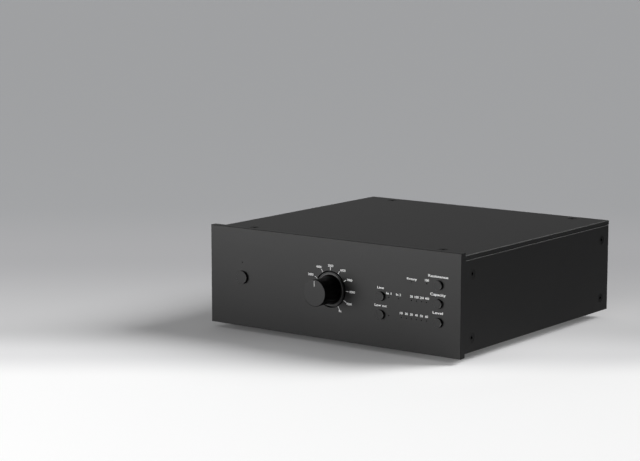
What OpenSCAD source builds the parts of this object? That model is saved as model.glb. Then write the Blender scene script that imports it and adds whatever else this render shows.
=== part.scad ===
// Phono preamp: a flat metal case with one rotary control, six push buttons
// and a row of audio sockets on the rear.
//
// Frame: +X to the right seen from the front, +Y to the rear, +Z up.
// The origin is on the surface that the feet stand on, at the middle of the footprint.

/* [Front panel] */
// Width of the front panel
panel_w = 206; // [198:1:230]
// Height of the front panel
panel_h = 68.4; // [66:0.1:80]
// Thickness of the front panel
panel_t = 5; // [4.5:0.1:7]
// Bevel round the face of the front panel
panel_bevel = 0.25; // [0.1:0.05:0.6]
// How far the front panel stands out past each side of the case
panel_lip_side = 0.6; // [0.2:0.1:1.5]
// How far the front panel stands above the cover
panel_lip_top = 2; // [0.5:0.1:4]
// How far the front panel hangs below the bottom of the case
panel_lip_bottom = 2.3; // [0.5:0.1:4]

/* [Case] */
// Depth from the face of the front panel to the rear edge of the case
case_d = 194; // [188:1:230]
// Thickness of the side panels
wall_t = 3; // [2:0.1:4]
// Thickness of the top cover
cover_t = 3; // [2:0.1:4]
// Thickness of the bottom plate
floor_t = 2; // [1.8:0.1:2.6]
// Bevel along the outer edges of the cover and the side panels
edge_bevel = 0.35; // [0.1:0.05:0.6]
// Open seam between the cover and a side panel
seam = 0.25; // [0.1:0.05:0.5]
// Gap left between loose plates that lie edge to edge
plate_gap = 0.2; // [0.1:0.05:0.4]

/* [Folded sheets] */
// Thickness of the frame behind the front panel
frame_t = 1.5; // [1:0.1:2]
// Thickness of the rear panel
rear_t = 2; // [1.5:0.1:3]
// How far the rear panel lies inside the rear edge of the case
rear_inset = 3.5; // [2:0.1:6]
// Inner radius of each fold
fold_r = 0.8; // [0.4:0.1:1.5]
// Width of each folded ear
ear_w = 13; // [11:0.5:13]
// Length of the front frame's ears
front_ear_l = 17; // [16:0.5:20]
// Length of the rear panel's ears
rear_ear_l = 12; // [11:0.5:14]
// Slit beside each ear
ear_slit = 0.5; // [0.3:0.1:1]

/* [Screws] */
// Radius of a case screw's thread
screw_r = 1.5; // [1.2:0.05:1.75]
// Radius of a countersunk head
head_r = 3; // [2.7:0.1:3.2]
// Length of a case screw
screw_l = 6; // [5.5:0.5:8]
// Width across the flats of a hex socket
socket_af = 2; // [1.5:0.1:2.5]
// Depth of a hex socket
socket_depth = 1.1; // [0.6:0.1:1.4]
// How far a countersunk head lies below the surface
head_sink = 0.1; // [0.05:0.05:0.3]
// Radial clearance of a screw in the hole that it passes through or threads into
screw_gap = 0.08; // [0.05:0.01:0.12]
// Radius of a pan head
pan_r = 2.75; // [2.5:0.05:3]
// Height of a pan head
pan_h = 1.8; // [1.4:0.1:2.2]
// Length of a pan-head screw's thread
pan_l = 5; // [4.5:0.5:5.5]
// Bevel round the top of a pan head
pan_bevel = 0.75; // [0.4:0.05:1]
// Distance of the side screws from the top and bottom edges of a side panel
side_screw_edge = 9.6; // [9.2:0.1:14]
// Distance of the front side screws behind the front panel
side_screw_front = 9.2; // [8:0.1:11]
// Distance of the rear side screws from the rear edge of the case
side_screw_rear = 10.3; // [9:0.1:11]
// Distance of the cover screws from the sides of the case
cover_screw_side = 24.4; // [20:0.1:28]
// Distance of the front cover screws behind the front panel
cover_screw_front = 12; // [8:0.1:12.5]
// Distance of the rear cover screws from the rear edge of the case
cover_screw_rear = 9.5; // [9:0.1:10.5]

/* [Feet] */
// Height of a foot
foot_h = 5.9; // [5:0.1:9]
// Radius of a foot where it meets the case
foot_r = 9; // [7.5:0.1:12]
// How much smaller a foot is where it meets the ground
foot_taper = 0.8; // [0.2:0.1:2]
// Distance of a foot's axis from the side of the case
foot_side = 34; // [30:1:40]
// Distance of the front feet's axes behind the face of the front panel
foot_front = 36; // [34:1:48]
// Distance of the rear feet's axes from the rear edge of the case
foot_rear = 26; // [24:1:40]
// Radius of the recess that takes the foot's screw
foot_recess_r = 3.4; // [3.2:0.1:4]
// Rubber left between the screw's head and the case
foot_web = 2.2; // [1.8:0.1:2.7]
// Bevel round the ground face of a foot
foot_bevel = 0.6; // [0.2:0.1:1]

/* [Knob] */
// Radius of the knob
knob_r = 9; // [8:0.1:9.5]
// How far the knob stands out of the front panel
knob_proud = 18; // [16:0.5:24]
// Radius of the rounded edge of the knob's face
knob_bevel = 0.4; // [0.2:0.05:0.8]
// Radius of the skirt that lies in the panel's opening
skirt_r = 11.6; // [11.3:0.1:12.5]
// Thickness of the skirt
skirt_t = 2; // [1.5:0.1:2]
// Radius of the fillet between knob and skirt
skirt_fillet = 1.5; // [0.8:0.1:1.7]
// Gap between the skirt and the edge of the panel's opening
skirt_gap = 0.9; // [0.5:0.1:1.5]
// Length of the pointer mark
pointer_l = 3.7; // [2:0.1:5]
// Width of the pointer mark
pointer_w = 0.8; // [0.5:0.1:1.2]
// Distance of the pointer mark from the edge of the knob's face
pointer_edge = 0.6; // [0.5:0.1:1.5]
// Depth of the pointer mark
pointer_depth = 0.25; // [0.1:0.05:0.4]
// Height of the knob's grub screw in front of the panel
grub_y = 6; // [4:0.5:8]
// Length of the knob's grub screw
grub_l = 5; // [4:0.5:5.5]
// Width across the flats of the grub screw's socket
grub_af = 1.5; // [1.3:0.1:2]

/* [Rotary control] */
// Radius of the control's shaft
shaft_r = 3; // [2.5:0.1:3]
// Length of the shaft in front of the panel
shaft_in_knob = 13; // [10:0.5:13.5]
// Depth of the flat on the shaft
shaft_flat = 0.5; // [0.3:0.1:0.8]
// Radial running clearance of the shaft
shaft_gap = 0.05; // [0.03:0.01:0.08]
// Radius of the control's threaded bush
bush_r = 4.5; // [4.2:0.1:4.8]
// Side of the control's square mounting plate
control_side = 17.5; // [16.8:0.1:20]
// Thickness of the control's mounting plate
control_plate_t = 1.2; // [0.8:0.1:1.6]
// Radius of the control's can
control_can_r = 8.2; // [7.5:0.1:8.3]
// Width across the flats of the bush nut
bush_nut_af = 12; // [11:0.5:14]
// Thickness of the bush nut
bush_nut_t = 2; // [1.5:0.1:2.1]

/* [Buttons] */
// Distance of the outer column of buttons from the right edge of the panel
button_col_edge = 16.9; // [16.5:0.1:24]
// Distance between the two columns of buttons
button_col_pitch = 45.1; // [44.5:0.1:47]
// Distance between the rows of buttons
button_row_pitch = 12.2; // [11.5:0.1:12.6]
// Distance of the power button from the left edge of the panel
power_edge = 28; // [26:0.5:36]
// Radius of a small button
button_r = 3; // [2.8:0.1:3.5]
// Radius of the power button
power_r = 4.4; // [4:0.1:6]
// Radial gap round a button
button_gap = 0.2; // [0.15:0.05:0.4]
// How far the buttons stand out of the panel
button_proud = 1.8; // [1.2:0.1:3]
// Bevel round a button's face
button_bevel = 0.2; // [0.1:0.05:0.4]
// How far a button's collar stands out round it
collar_rim = 0.9; // [0.6:0.1:1]
// Thickness of a button's collar
collar_t = 1; // [0.8:0.1:1.4]
// Radius of a small button's stem
stem_r = 1.7; // [1.2:0.1:1.9]
// Radius of the power button's stem
power_stem_r = 2.2; // [1.8:0.1:2.8]
// How far a small button travels
button_travel = 0.6; // [0.3:0.1:0.8]
// How far the power button travels
power_travel = 1; // [0.6:0.1:1.4]
// Side of a selector switch
switch_side = 6; // [5.6:0.1:7]
// Height of a selector switch
switch_h = 3.5; // [3.2:0.1:4.5]
// Side of the power switch
power_switch_side = 8.5; // [7.6:0.1:10]
// Height of the power switch
power_switch_h = 5; // [4.2:0.1:6]
// How far a stem reaches into its switch at rest
stem_seat = 0.5; // [0.3:0.1:0.8]
// Gap round a stem inside its switch, and past its end when pressed
stem_gap = 0.15; // [0.1:0.05:0.2]

/* [Indicators] */
// Distance between neighbouring indicators in a row
lamp_pitch = 3.93; // [3.5:0.01:4.2]
// Distance of the last indicator of a row from the outer buttons' axes
lamp_col = 9.2; // [7.5:0.1:10]
// Distance of the first input indicator from the inner buttons' axes
lamp_inner_first = 6.4; // [5.5:0.1:7.5]
// Distance between the two input indicators
lamp_inner_pitch = 7.6; // [7:0.1:8.5]
// Distance of the power indicator above the power button's axis
lamp_power_z = 10.4; // [9.5:0.1:13]
// Radius of the pin hole in the panel's face
lamp_hole_r = 0.4; // [0.3:0.05:0.6]
// Depth of the pin hole
lamp_hole_depth = 2; // [1:0.1:2.5]
// Radius of a light guide
guide_r = 1; // [0.8:0.05:1.2]
// Gap round a light guide in the panel
guide_gap = 0.1; // [0.05:0.01:0.2]
// How far an indicator lamp stands off the control board
lamp_h = 0.7; // [0.5:0.1:1]
// Length of an indicator lamp
lamp_w = 1.6; // [1:0.1:2]
// Width of an indicator lamp
lamp_d = 0.9; // [0.6:0.1:1.2]

/* [Boards] */
// Thickness of the boards
board_t = 1.6; // [1:0.1:2]
// Length of the pillars that carry the boards
pillar_l = 10; // [9:0.5:12]
// Radius of a pillar
pillar_r = 2.75; // [2.5:0.05:3]
// Gap between the main board and each side panel
main_side_gap = 14.4; // [8:0.2:20]
// Gap between the control board and each side panel
control_side_gap = 3.4; // [3.2:0.1:6]
// Height of the control board
control_board_h = 50; // [46:0.5:51]
// Gap between the socket board and each side panel
socket_side_gap = 3.4; // [3.2:0.1:6]
// Height of the socket board
socket_board_h = 36; // [34:0.5:42]
// Distance of a pillar's axis from the edges of its board
pillar_edge = 4.5; // [4:0.1:5.5]
// Radius of the neck that is pressed into the front frame
neck_r = 2.1; // [1.9:0.05:2.4]

/* [Main board parts] */
// Radius of a reservoir capacitor
reservoir_r = 8; // [6:0.5:9]
// Height of a reservoir capacitor
reservoir_h = 25; // [16:1:32]
// Radius of a coupling capacitor
coupling_r = 4; // [3:0.5:4.5]
// Height of a coupling capacitor
coupling_h = 12; // [9:1:18]
// Width of a film capacitor
film_w = 7; // [5:0.5:12]
// Depth of a film capacitor
film_d = 18; // [12:0.5:20]
// Height of a film capacitor
film_h = 12; // [8:0.5:16]
// Width of a relay
relay_w = 15; // [10:0.5:20]
// Depth of a relay
relay_d = 7.5; // [5:0.5:10]
// Height of a relay
relay_h = 10; // [6:0.5:14]
// Width of an amplifier chip's body
chip_w = 6.4; // [5:0.2:8]
// Length of an amplifier chip's body
chip_l = 9.6; // [8:0.2:12]
// Height of an amplifier chip above the board
chip_h = 4; // [3:0.1:5]
// Width of a chip's leg, and its height above the board
chip_leg = 0.6; // [0.4:0.1:0.8]
// Bevel along the top of the moulded parts on the board
mould_bevel = 0.5; // [0.2:0.1:0.8]
// Width of the groove rolled round a capacitor's can
can_groove = 0.4; // [0.3:0.05:0.6]
// Length of the heat sink
sink_l = 64; // [50:1:80]
// Height of the heat sink
sink_h = 25; // [22:1:35]
// Depth of the heat sink with its fins
sink_d = 15; // [10:1:18]
// Thickness of the heat sink's back
sink_back = 3; // [2:0.5:4]
// Thickness of a fin
fin_t = 1.4; // [1:0.1:2]
// Number of fins
fin_count = 11; // [6:1:13]
// Width of a voltage regulator
regulator_w = 10; // [8:0.5:12]
// Thickness of a voltage regulator's body
regulator_t = 4.4; // [3.5:0.1:5]
// Height of a voltage regulator above the board
regulator_h = 19; // [17:0.5:21]
// Height of a voltage regulator's body
regulator_body_h = 9.2; // [8.5:0.1:10]
// Length of its legs between the board and the body
regulator_leg_l = 3.8; // [2:0.1:5]
// Width of a leg
regulator_leg_w = 0.8; // [0.6:0.1:1]
// Thickness of its metal tab
regulator_tab_t = 1.3; // [1:0.1:1.6]

/* [Sockets] */
// How far the sockets stand out past the rear edge of the case
socket_proud = 6; // [5.5:0.1:8]
// Depth of the row of sockets behind the rear panel, up to the socket board
socket_depth_in = 18; // [17:0.5:22]
// Distance between the two sockets of a pair
rca_pitch = 19; // [16:0.5:22]

/* [Phono sockets] */
// Radius of the outer contact
rca_r = 4.15; // [4.1:0.01:4.2]
// Radius of the hole in the centre contact
rca_bore_r = 1.6; // [1.55:0.01:1.65]
// Depth of the hole in the centre contact
rca_bore_depth = 9; // [8:0.5:10]
// Inner radius of the outer contact's sleeve
rca_sleeve_r = 3.4; // [3.2:0.05:3.5]
// Radius of the bore through the phono barrel, which holds its insulating core
rca_core_r = 3.1; // [3:0.05:3.2]
// Outer radius of the centre contact
rca_centre_r = 2.1; // [2:0.05:2.3]
// Depth of the groove between the two contacts
rca_groove = 1; // [0.5:0.1:2]
// Bevel round the socket's end
rca_bevel = 0.3; // [0.1:0.05:0.5]
// Radius of the shoulder
rca_shoulder_r = 5.6; // [5.2:0.1:6]
// Thickness of the shoulder
rca_shoulder_t = 1; // [0.8:0.1:1.5]
// Radius of the threaded stem
rca_thread_r = 3.9; // [3.6:0.05:4]
// Outer radius of the insulating washers
insulator_r = 6.4; // [5.9:0.1:7]
// Thickness of the insulating washers
insulator_t = 0.8; // [0.6:0.1:1.2]
// Radial thickness of the insulating sleeve in the panel's hole
insulator_sleeve = 0.8; // [0.6:0.1:1]
// Width across the flats of the inner nut
rca_nut_af = 11; // [10.5:0.5:12]
// Thickness of the inner nut
rca_nut_t = 2; // [1.5:0.1:3]
// Radius of the solder tail
rca_tail_r = 1.5; // [1:0.1:2]

/* [Balanced outputs] */
// Width of the flange
xlr_w = 26; // [25.5:0.5:27]
// Height of the flange
xlr_h = 31; // [30.5:0.5:32]
// Thickness of the flange
xlr_flange_t = 2.2; // [2:0.1:3]
// Corner radius of the flange
xlr_corner = 3; // [2:0.1:4]
// Radius of the shell behind the panel
xlr_shell_r = 11.6; // [11:0.1:11.8]
// Radius of the bore that takes the plug
xlr_bore_r = 8.1; // [8:0.05:8.3]
// Depth of the bore
xlr_bore_depth = 14.5; // [13.5:0.1:15]
// Bevel round the bore's mouth
xlr_mouth = 0.6; // [0.3:0.1:1]
// Radius of the circle that the contacts lie on
xlr_pin_circle = 3.81; // [3.7:0.01:3.9]
// Radius of a contact
xlr_pin_r = 1.2; // [1.15:0.01:1.25]
// How far the contacts' tips lie inside the flange's face
xlr_pin_recess = 1.5; // [1:0.1:3]
// Bevel round a contact's tip
xlr_pin_bevel = 0.5; // [0.2:0.1:0.8]
// Width of the keyway
xlr_key_w = 3; // [2:0.1:4]
// Depth of the keyway outside the bore
xlr_key_depth = 1.1; // [0.6:0.1:1.6]
// Horizontal distance between the flange's two screws
xlr_screw_dx = 19; // [18.6:0.1:19.2]
// Vertical distance between the flange's two screws
xlr_screw_dz = 24; // [23.6:0.1:24.2]

/* [Balanced input] */
// Radius of the flange
mini_flange_r = 7.4; // [7:0.1:8]
// Thickness of the flange
mini_flange_t = 1.6; // [1.2:0.1:2.5]
// Radius of the body
mini_body_r = 5.8; // [5.6:0.1:6.2]
// Radius of the bore that takes the plug
mini_bore_r = 4.7; // [4.6:0.05:4.9]
// Depth of the bore
mini_bore_depth = 8; // [6:0.5:10]
// Radius of the contact block inside the bore
mini_core_r = 3.4; // [3.2:0.05:3.5]
// Radius of the circle that the contact holes lie on
mini_circle_r = 2.1; // [2:0.05:2.2]
// Radius of a contact hole
mini_hole_r = 0.55; // [0.45:0.05:0.6]
// Number of contact holes
mini_count = 5; // [3:1:6]

/* [Power inlet] */
// Radius of the flange
inlet_flange_r = 6; // [5.6:0.1:6.5]
// Thickness of the flange
inlet_flange_t = 1.4; // [1:0.1:2]
// Radius of the body
inlet_body_r = 5; // [4.6:0.1:5.3]
// Radius of the bore that takes the plug
inlet_bore_r = 3.15; // [3:0.05:3.4]
// Depth of the bore
inlet_bore_depth = 10; // [8:0.5:12]
// Radius of the centre pin
inlet_pin_r = 1.05; // [0.9:0.01:1.3]
// How far the pin's tip lies inside the flange's face
inlet_pin_recess = 0.8; // [0.5:0.1:2]

/* [Ground post] */
// Radius of the post's thread
post_r = 2; // [1.8:0.1:2.2]
// Radius of the post's shoulder
post_shoulder_r = 5.2; // [4.6:0.1:6]
// Thickness of the post's shoulder
post_shoulder_t = 1.5; // [1:0.1:1.6]
// Length of the post's thread outside the shoulder
post_l = 7.9; // [7.7:0.1:7.9]
// Radius of the thumb nut
thumb_r = 4.8; // [4.4:0.1:5.4]
// Height of the thumb nut
thumb_h = 5; // [4:0.1:5]
// Radius of the nut's waist
thumb_waist_r = 4; // [3.4:0.1:4.2]
// Height of the nut's waist
thumb_waist_h = 1.2; // [0.8:0.1:2]
// Bevel round the nut's edges
thumb_bevel = 0.4; // [0.2:0.05:0.6]
// Number of flutes round the nut
thumb_flutes = 24; // [12:1:30]
// Radius of a flute
thumb_flute_r = 0.35; // [0.2:0.05:0.45]
// Thickness of the washer
washer_t = 0.8; // [0.6:0.1:1]
// Radius of the washer
washer_r = 4.4; // [4:0.1:5]
// Radial running clearance on the post
post_gap = 0.08; // [0.04:0.01:0.1]
// How far the nut opens when it is turned out
post_opening = 1.4; // [0.7:0.7:1.4]

/* [Hidden] */

// Facets of a round part in the preview, and of a small one
FINE = 96;
SMALL = 32;
// How far a cut runs past the faces that it opens
over = 1;
// Radius of the hole that a screw passes through or threads into
screw_hole_r = screw_r + screw_gap;

// Outside of the case
case_w = panel_w - 2 * panel_lip_side;
case_bottom = foot_h;
panel_bottom = foot_h - panel_lip_bottom;
panel_top = panel_bottom + panel_h;
case_top = panel_top - panel_lip_top;

// Planes across the depth, front to rear; the origin halves the whole depth
face_y = knob_proud - (knob_proud + case_d + socket_proud) / 2;
panel_back_y = face_y + panel_t;
case_rear_y = face_y + case_d;
socket_end_y = case_rear_y + socket_proud;
frame_back_y = panel_back_y + frame_t;
rear_face_y = case_rear_y - rear_inset;
rear_inner_y = rear_face_y - rear_t;
control_board_y = frame_back_y + pillar_l;
socket_board_y = rear_inner_y - socket_depth_in;

// Inside of the case
inner_x = case_w / 2 - wall_t;
floor_z = case_bottom + floor_t;
roof_z = case_top - cover_t;
side_top = roof_z - seam;

// Screws of the case
cover_screw_x = case_w / 2 - cover_screw_side;
cover_screw_ys = [panel_back_y + cover_screw_front, case_rear_y - cover_screw_rear];
side_screw_ys = [panel_back_y + side_screw_front, case_rear_y - side_screw_rear];
side_screw_zs = [case_bottom + side_screw_edge, side_top - side_screw_edge];
foot_x = case_w / 2 - foot_side;
foot_ys = [face_y + foot_front, case_rear_y - foot_rear];

// Controls: the knob is in the middle of the panel, and the rows lie level with it
knob_z = panel_bottom + panel_h / 2;
outer_col = panel_w / 2 - button_col_edge;
inner_col = outer_col - button_col_pitch;
power_x = power_edge - panel_w / 2;
row_zs = [knob_z + button_row_pitch, knob_z, knob_z - button_row_pitch];
hole_r = button_r + button_gap;
power_hole_r = power_r + button_gap;
collar_r = button_r + collar_rim;
power_collar_r = power_r + collar_rim;
collar_gap = 0.3;
window_margin = 0.5;
// Wall left in the rotary control behind its shaft
shaft_end = 1.6;
opening_r = skirt_r + skirt_gap;
button_places = [
    [inner_col, row_zs[1]],
    [inner_col, row_zs[2]],
    [outer_col, row_zs[0]],
    [outer_col, row_zs[1]],
    [outer_col, row_zs[2]]
];

// Indicators: rows of two, four and six that end beside the outer buttons
lamp_end = outer_col - lamp_col;
inner_lamp = inner_col + lamp_inner_first;
lamp_places = concat(
    [[power_x, knob_z + lamp_power_z]],
    [for (i = [0, 1]) [inner_lamp + i * lamp_inner_pitch, row_zs[1]]],
    [[inner_lamp, row_zs[2]]],
    [for (i = [0, 3]) [lamp_end - i * lamp_pitch, row_zs[0]]],
    [for (i = [0 : 3]) [lamp_end - i * lamp_pitch, row_zs[1]]],
    [for (i = [0 : 5]) [lamp_end - i * lamp_pitch, row_zs[2]]]
);
guide_hole_r = guide_r + guide_gap;

// Boards
main_z = floor_z + pillar_l;
main_top = main_z + board_t;
board_gap = 0.3;
main_half_w = inner_x - main_side_gap;
control_half_w = inner_x - control_side_gap;
socket_half_w = inner_x - socket_side_gap;
main_front_y = control_board_y + board_t + pan_h + board_gap;
main_rear_y = socket_board_y + 2 * pillar_edge;
control_board_z = (floor_z + roof_z) / 2 - control_board_h / 2;
main_pillar_places = [
    for (x = [-1, 1], y = [main_front_y + 2 * pillar_edge, socket_board_y - board_t - 2 * pillar_edge])
        [x * (main_half_w - pillar_edge), y]
];
control_pillar_places = [
    for (x = [-1, 1], z = [control_board_z + pillar_edge, control_board_z + control_board_h - pillar_edge])
        [x * (control_half_w - pillar_edge), z]
];
panel_screw_x = 50;
panel_screw_margin = 6;
panel_screw_places = [
    for (x = [-1, 1], z = [floor_z + panel_screw_margin, roof_z - panel_screw_margin]) [x * panel_screw_x, z]
];
link_w = 40;
link_d = 6;
link_h = 6;

// Rows of parts on the main board, front to rear, with the same gap between each
rows_d = 2 * reservoir_r + regulator_t + sink_d + chip_l + film_d + 2 * coupling_r + relay_d;
row_gap = (socket_board_y - board_t - main_front_y - rows_d) / 7;
reservoir_y = main_front_y + row_gap + reservoir_r;
sink_y = reservoir_y + reservoir_r + row_gap + regulator_t;
chip_y = sink_y + sink_d + row_gap + chip_l / 2;
film_y = chip_y + chip_l / 2 + row_gap + film_d / 2;
coupling_y = film_y + film_d / 2 + row_gap + coupling_r;
relay_y = coupling_y + coupling_r + row_gap + relay_d / 2;
row_half_w = main_half_w - 2 * pillar_edge;
reservoir_count = 4;
chip_count = 4;
film_count = 8;
coupling_count = 6;
relay_count = 6;
regulator_pitch = 20;
leg_pitch = 2.54;

// Sockets: one row at half height, right to left seen from the front, with the same gap between each
socket_z = (floor_z + roof_z) / 2;
pair_w = rca_pitch + 2 * insulator_r;
sockets_w = 2 * (post_shoulder_r + pair_w + mini_flange_r + xlr_w + inlet_flange_r);
socket_gap = (2 * inner_x - sockets_w) / 8;
ground_x = inner_x - socket_gap - post_shoulder_r;
input_x = ground_x - post_shoulder_r - socket_gap - pair_w / 2;
balanced_x = input_x - pair_w / 2 - socket_gap - mini_flange_r;
output_x = balanced_x - mini_flange_r - socket_gap - pair_w / 2;
xlr_x = output_x - pair_w / 2 - socket_gap - xlr_w / 2;
xlr_pitch = xlr_w + socket_gap;
inlet_x = inlet_flange_r + socket_gap - inner_x;
rca_xs = [
    input_x + rca_pitch / 2,
    input_x - rca_pitch / 2,
    output_x + rca_pitch / 2,
    output_x - rca_pitch / 2
];
xlr_xs = [xlr_x, xlr_x - xlr_pitch];
rca_face_y = rear_face_y + insulator_t;
rca_shoulder_y = rca_face_y + rca_shoulder_t;
insulator_bore_r = rca_thread_r + screw_gap;
insulator_neck_r = insulator_bore_r + insulator_sleeve;
rca_hole_r = insulator_neck_r + screw_gap;
rca_nut_y = rear_inner_y - insulator_t;
hole_gap = 0.2;
xlr_face_y = rear_face_y + xlr_flange_t;
mini_face_y = rear_face_y + mini_flange_t;
inlet_face_y = rear_face_y + inlet_flange_t;
post_seat_y = rear_face_y + post_shoulder_t;
post_nut_t = 2.4;
post_nut_af = 8;
touch_gap = 0.05;
rca_end_y = rca_nut_y - rca_nut_t - touch_gap;

// ---------------------------------------------------------------- shared shapes

// Round bar along Y
module bar_y(r, y0, y1, x = 0, z = 0, fn = FINE) {
    translate([x, y0, z]) facing_rear() cylinder(r = r, h = y1 - y0, $fn = fn);
}

// Round hole along Y through what lies between y0 and y1
module hole_y(r, y0, y1, x = 0, z = 0, fn = SMALL) {
    bar_y(r, y0 - over, y1 + over, x, z, fn);
}

// Turns what points up so that it points to the front, or to the rear
module facing_front() {
    rotate([90, 0, 0]) children();
}

module facing_rear() {
    rotate([-90, 0, 0]) children();
}

// Ring along Y
module ring_y(r_out, r_in, y0, y1, x = 0, z = 0, fn = FINE) {
    difference() {
        bar_y(r_out, y0, y1, x, z, fn);
        hole_y(r_in, y0, y1, x, z, fn);
    }
}

// Box given by its lowest and highest corners
module box(low, high) {
    translate(low) cube(high - low);
}

// Outline of a plate's edge: a rectangle w wide and t high with its two upper corners bevelled
module bevel_outline(w, t, b) {
    polygon([[-w / 2, 0], [w / 2, 0], [w / 2, t - b], [w / 2 - b, t], [b - w / 2, t], [-w / 2, t - b]]);
}

// Plate w by d, t thick, with a bevel round its upper face
module bevel_plate(w, d, t, b) {
    intersection() {
        rotate([90, 0, 0]) linear_extrude(d, center = true) bevel_outline(w, t, b);
        rotate([90, 0, 90]) linear_extrude(w, center = true) bevel_outline(d, t, b);
    }
}

// Solid turned about Z; each point of its outline is [radius, height], and it is closed along the axis
module turned(points, fn = SMALL) {
    rotate_extrude($fn = fn) polygon(concat([[0, points[0][1]]], points, [[0, points[len(points) - 1][1]]]));
}

// Countersunk screw with a hex socket; its head's face is at z = 0 and it points down
module csk_screw() {
    difference() {
        turned([[screw_r, -screw_l], [screw_r, screw_r - head_r], [head_r, 0]]);
        translate([0, 0, -socket_depth]) cylinder(d = socket_af / cos(30), h = socket_depth + over, $fn = 6);
    }
}

// Hole for a countersunk screw, open at z = 0
module csk_hole(depth) {
    cone_h = head_r - screw_r;
    sink = head_sink + screw_gap;
    mouth_r = screw_hole_r + cone_h;
    turned([
        [screw_hole_r, -depth - over],
        [screw_hole_r, -cone_h - sink],
        [mouth_r, -sink],
        [mouth_r, over]
    ]);
}

// Pan-head screw; the underside of its head is at z = 0 and it points down
module pan_screw() {
    difference() {
        turned([
            [screw_r, -pan_l],
            [screw_r, 0],
            [pan_r, 0],
            [pan_r, pan_h - pan_bevel],
            [pan_r - pan_bevel, pan_h]
        ]);
        translate([0, 0, pan_h - socket_depth]) cylinder(d = socket_af / cos(30), h = pan_h, $fn = 6);
    }
}

// Hex nut along Y
module nut_y(af, r, y0, y1, x, z) {
    difference() {
        translate([x, y0, z]) facing_rear() cylinder(d = af / cos(30), h = y1 - y0, $fn = 6);
        hole_y(r, y0, y1, x, z);
    }
}

// ---------------------------------------------------------------- places of the screws

module at_cover_screws() {
    for (x = [-1, 1], y = cover_screw_ys) translate([x * cover_screw_x, y, case_top]) children();
}

module at_side_screws() {
    for (s = [-1, 1], y = side_screw_ys, z = side_screw_zs)
        translate([s * case_w / 2, y, z]) rotate([0, s * 90, 0]) children();
}

module at_floor_screws() {
    for (x = [-1, 1], y = cover_screw_ys)
        translate([x * cover_screw_x, y, case_bottom]) mirror([0, 0, 1]) children();
}

module at_main_pillars(z) {
    for (p = main_pillar_places) translate([p[0], p[1], z]) children();
}

module at_control_pillars(y) {
    for (p = control_pillar_places) translate([p[0], y, p[1]]) facing_rear() children();
}

module at_feet() {
    for (x = [-1, 1], y = foot_ys) translate([x * foot_x, y, 0]) children();
}

// ---------------------------------------------------------------- folded sheets

// Region right of and below the corner at the origin, rounded by r there
module rounded_corner(r, w, h) {
    translate([r, -r]) circle(r = r, $fn = FINE);
    translate([r, -h]) square([w - r, h]);
    translate([0, -h]) square([w, h - r]);
}

// Section of an ear: a stub of the sheet, the fold, then the flat that lies against the next wall
module ear_outline(t, length) {
    stub = fold_r + t + over;
    difference() {
        rounded_corner(fold_r + t, length, stub);
        translate([t, -t]) rounded_corner(fold_r, length, stub);
    }
}

// Puts children at the middle of each ear's outer edge, turned so that up is outwards
module at_ears() {
    for (x = [-1, 1]) translate([x * cover_screw_x, 0, roof_z]) children();
    for (x = [-1, 1]) translate([x * cover_screw_x, 0, floor_z]) mirror([0, 0, 1]) children();
    for (s = [-1, 1], z = side_screw_zs) translate([s * inner_x, 0, z]) rotate([0, s * 90, 0]) children();
}

// Sheet across the inside of the case with its outer face at y = 0 and its ears towards +Y
module folded_sheet(t, ear_l) {
    bend = fold_r + t;
    difference() {
        box([plate_gap - inner_x, 0, floor_z], [inner_x - plate_gap, t, roof_z - plate_gap]);
        at_ears() box([-ear_w / 2 - ear_slit, -over, -bend], [ear_w / 2 + ear_slit, t + over, over]);
    }
    at_ears() rotate([90, 0, 90]) linear_extrude(ear_w, center = true) ear_outline(t, ear_l);
}

// ---------------------------------------------------------------- case

module front_panel() {
    color("#3a3a3b")
    difference() {
        translate([0, panel_back_y, knob_z]) facing_front()
            bevel_plate(panel_w, panel_h, panel_t, panel_bevel);
        hole_y(opening_r, face_y, panel_back_y, 0, knob_z, FINE);
        hole_y(power_hole_r, face_y, panel_back_y, power_x, knob_z, FINE);
        for (p = button_places) hole_y(hole_r, face_y, panel_back_y, p[0], p[1], FINE);
        for (p = lamp_places) {
            hole_y(lamp_hole_r, face_y, panel_back_y, p[0], p[1]);
            bar_y(guide_hole_r, face_y + lamp_hole_depth, panel_back_y + over, p[0], p[1], SMALL);
        }
        for (p = panel_screw_places)
            bar_y(screw_hole_r, frame_back_y - pan_l - screw_gap, panel_back_y + over, p[0], p[1], SMALL);
    }
}

module front_frame() {
    window = collar_r + window_margin;
    power_window = power_collar_r + window_margin;
    power_window_top = knob_z + lamp_power_z + guide_hole_r + window_margin;
    color("#6f7073")
    difference() {
        translate([0, panel_back_y, 0]) folded_sheet(frame_t, front_ear_l);
        hole_y(bush_r + screw_gap, panel_back_y, frame_back_y, 0, knob_z, FINE);
        box([inner_col - window, panel_back_y - over, row_zs[2] - window],
            [outer_col + window, frame_back_y + over, row_zs[0] + window]);
        box([power_x - power_window, panel_back_y - over, knob_z - power_window],
            [power_x + power_window, frame_back_y + over, power_window_top]);
        for (p = panel_screw_places) hole_y(screw_hole_r, panel_back_y, frame_back_y, p[0], p[1]);
        for (p = control_pillar_places) hole_y(neck_r + screw_gap, panel_back_y, frame_back_y, p[0], p[1]);
        at_cover_screws() csk_hole(screw_l);
        at_floor_screws() csk_hole(screw_l);
        at_side_screws() csk_hole(screw_l);
    }
}

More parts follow.
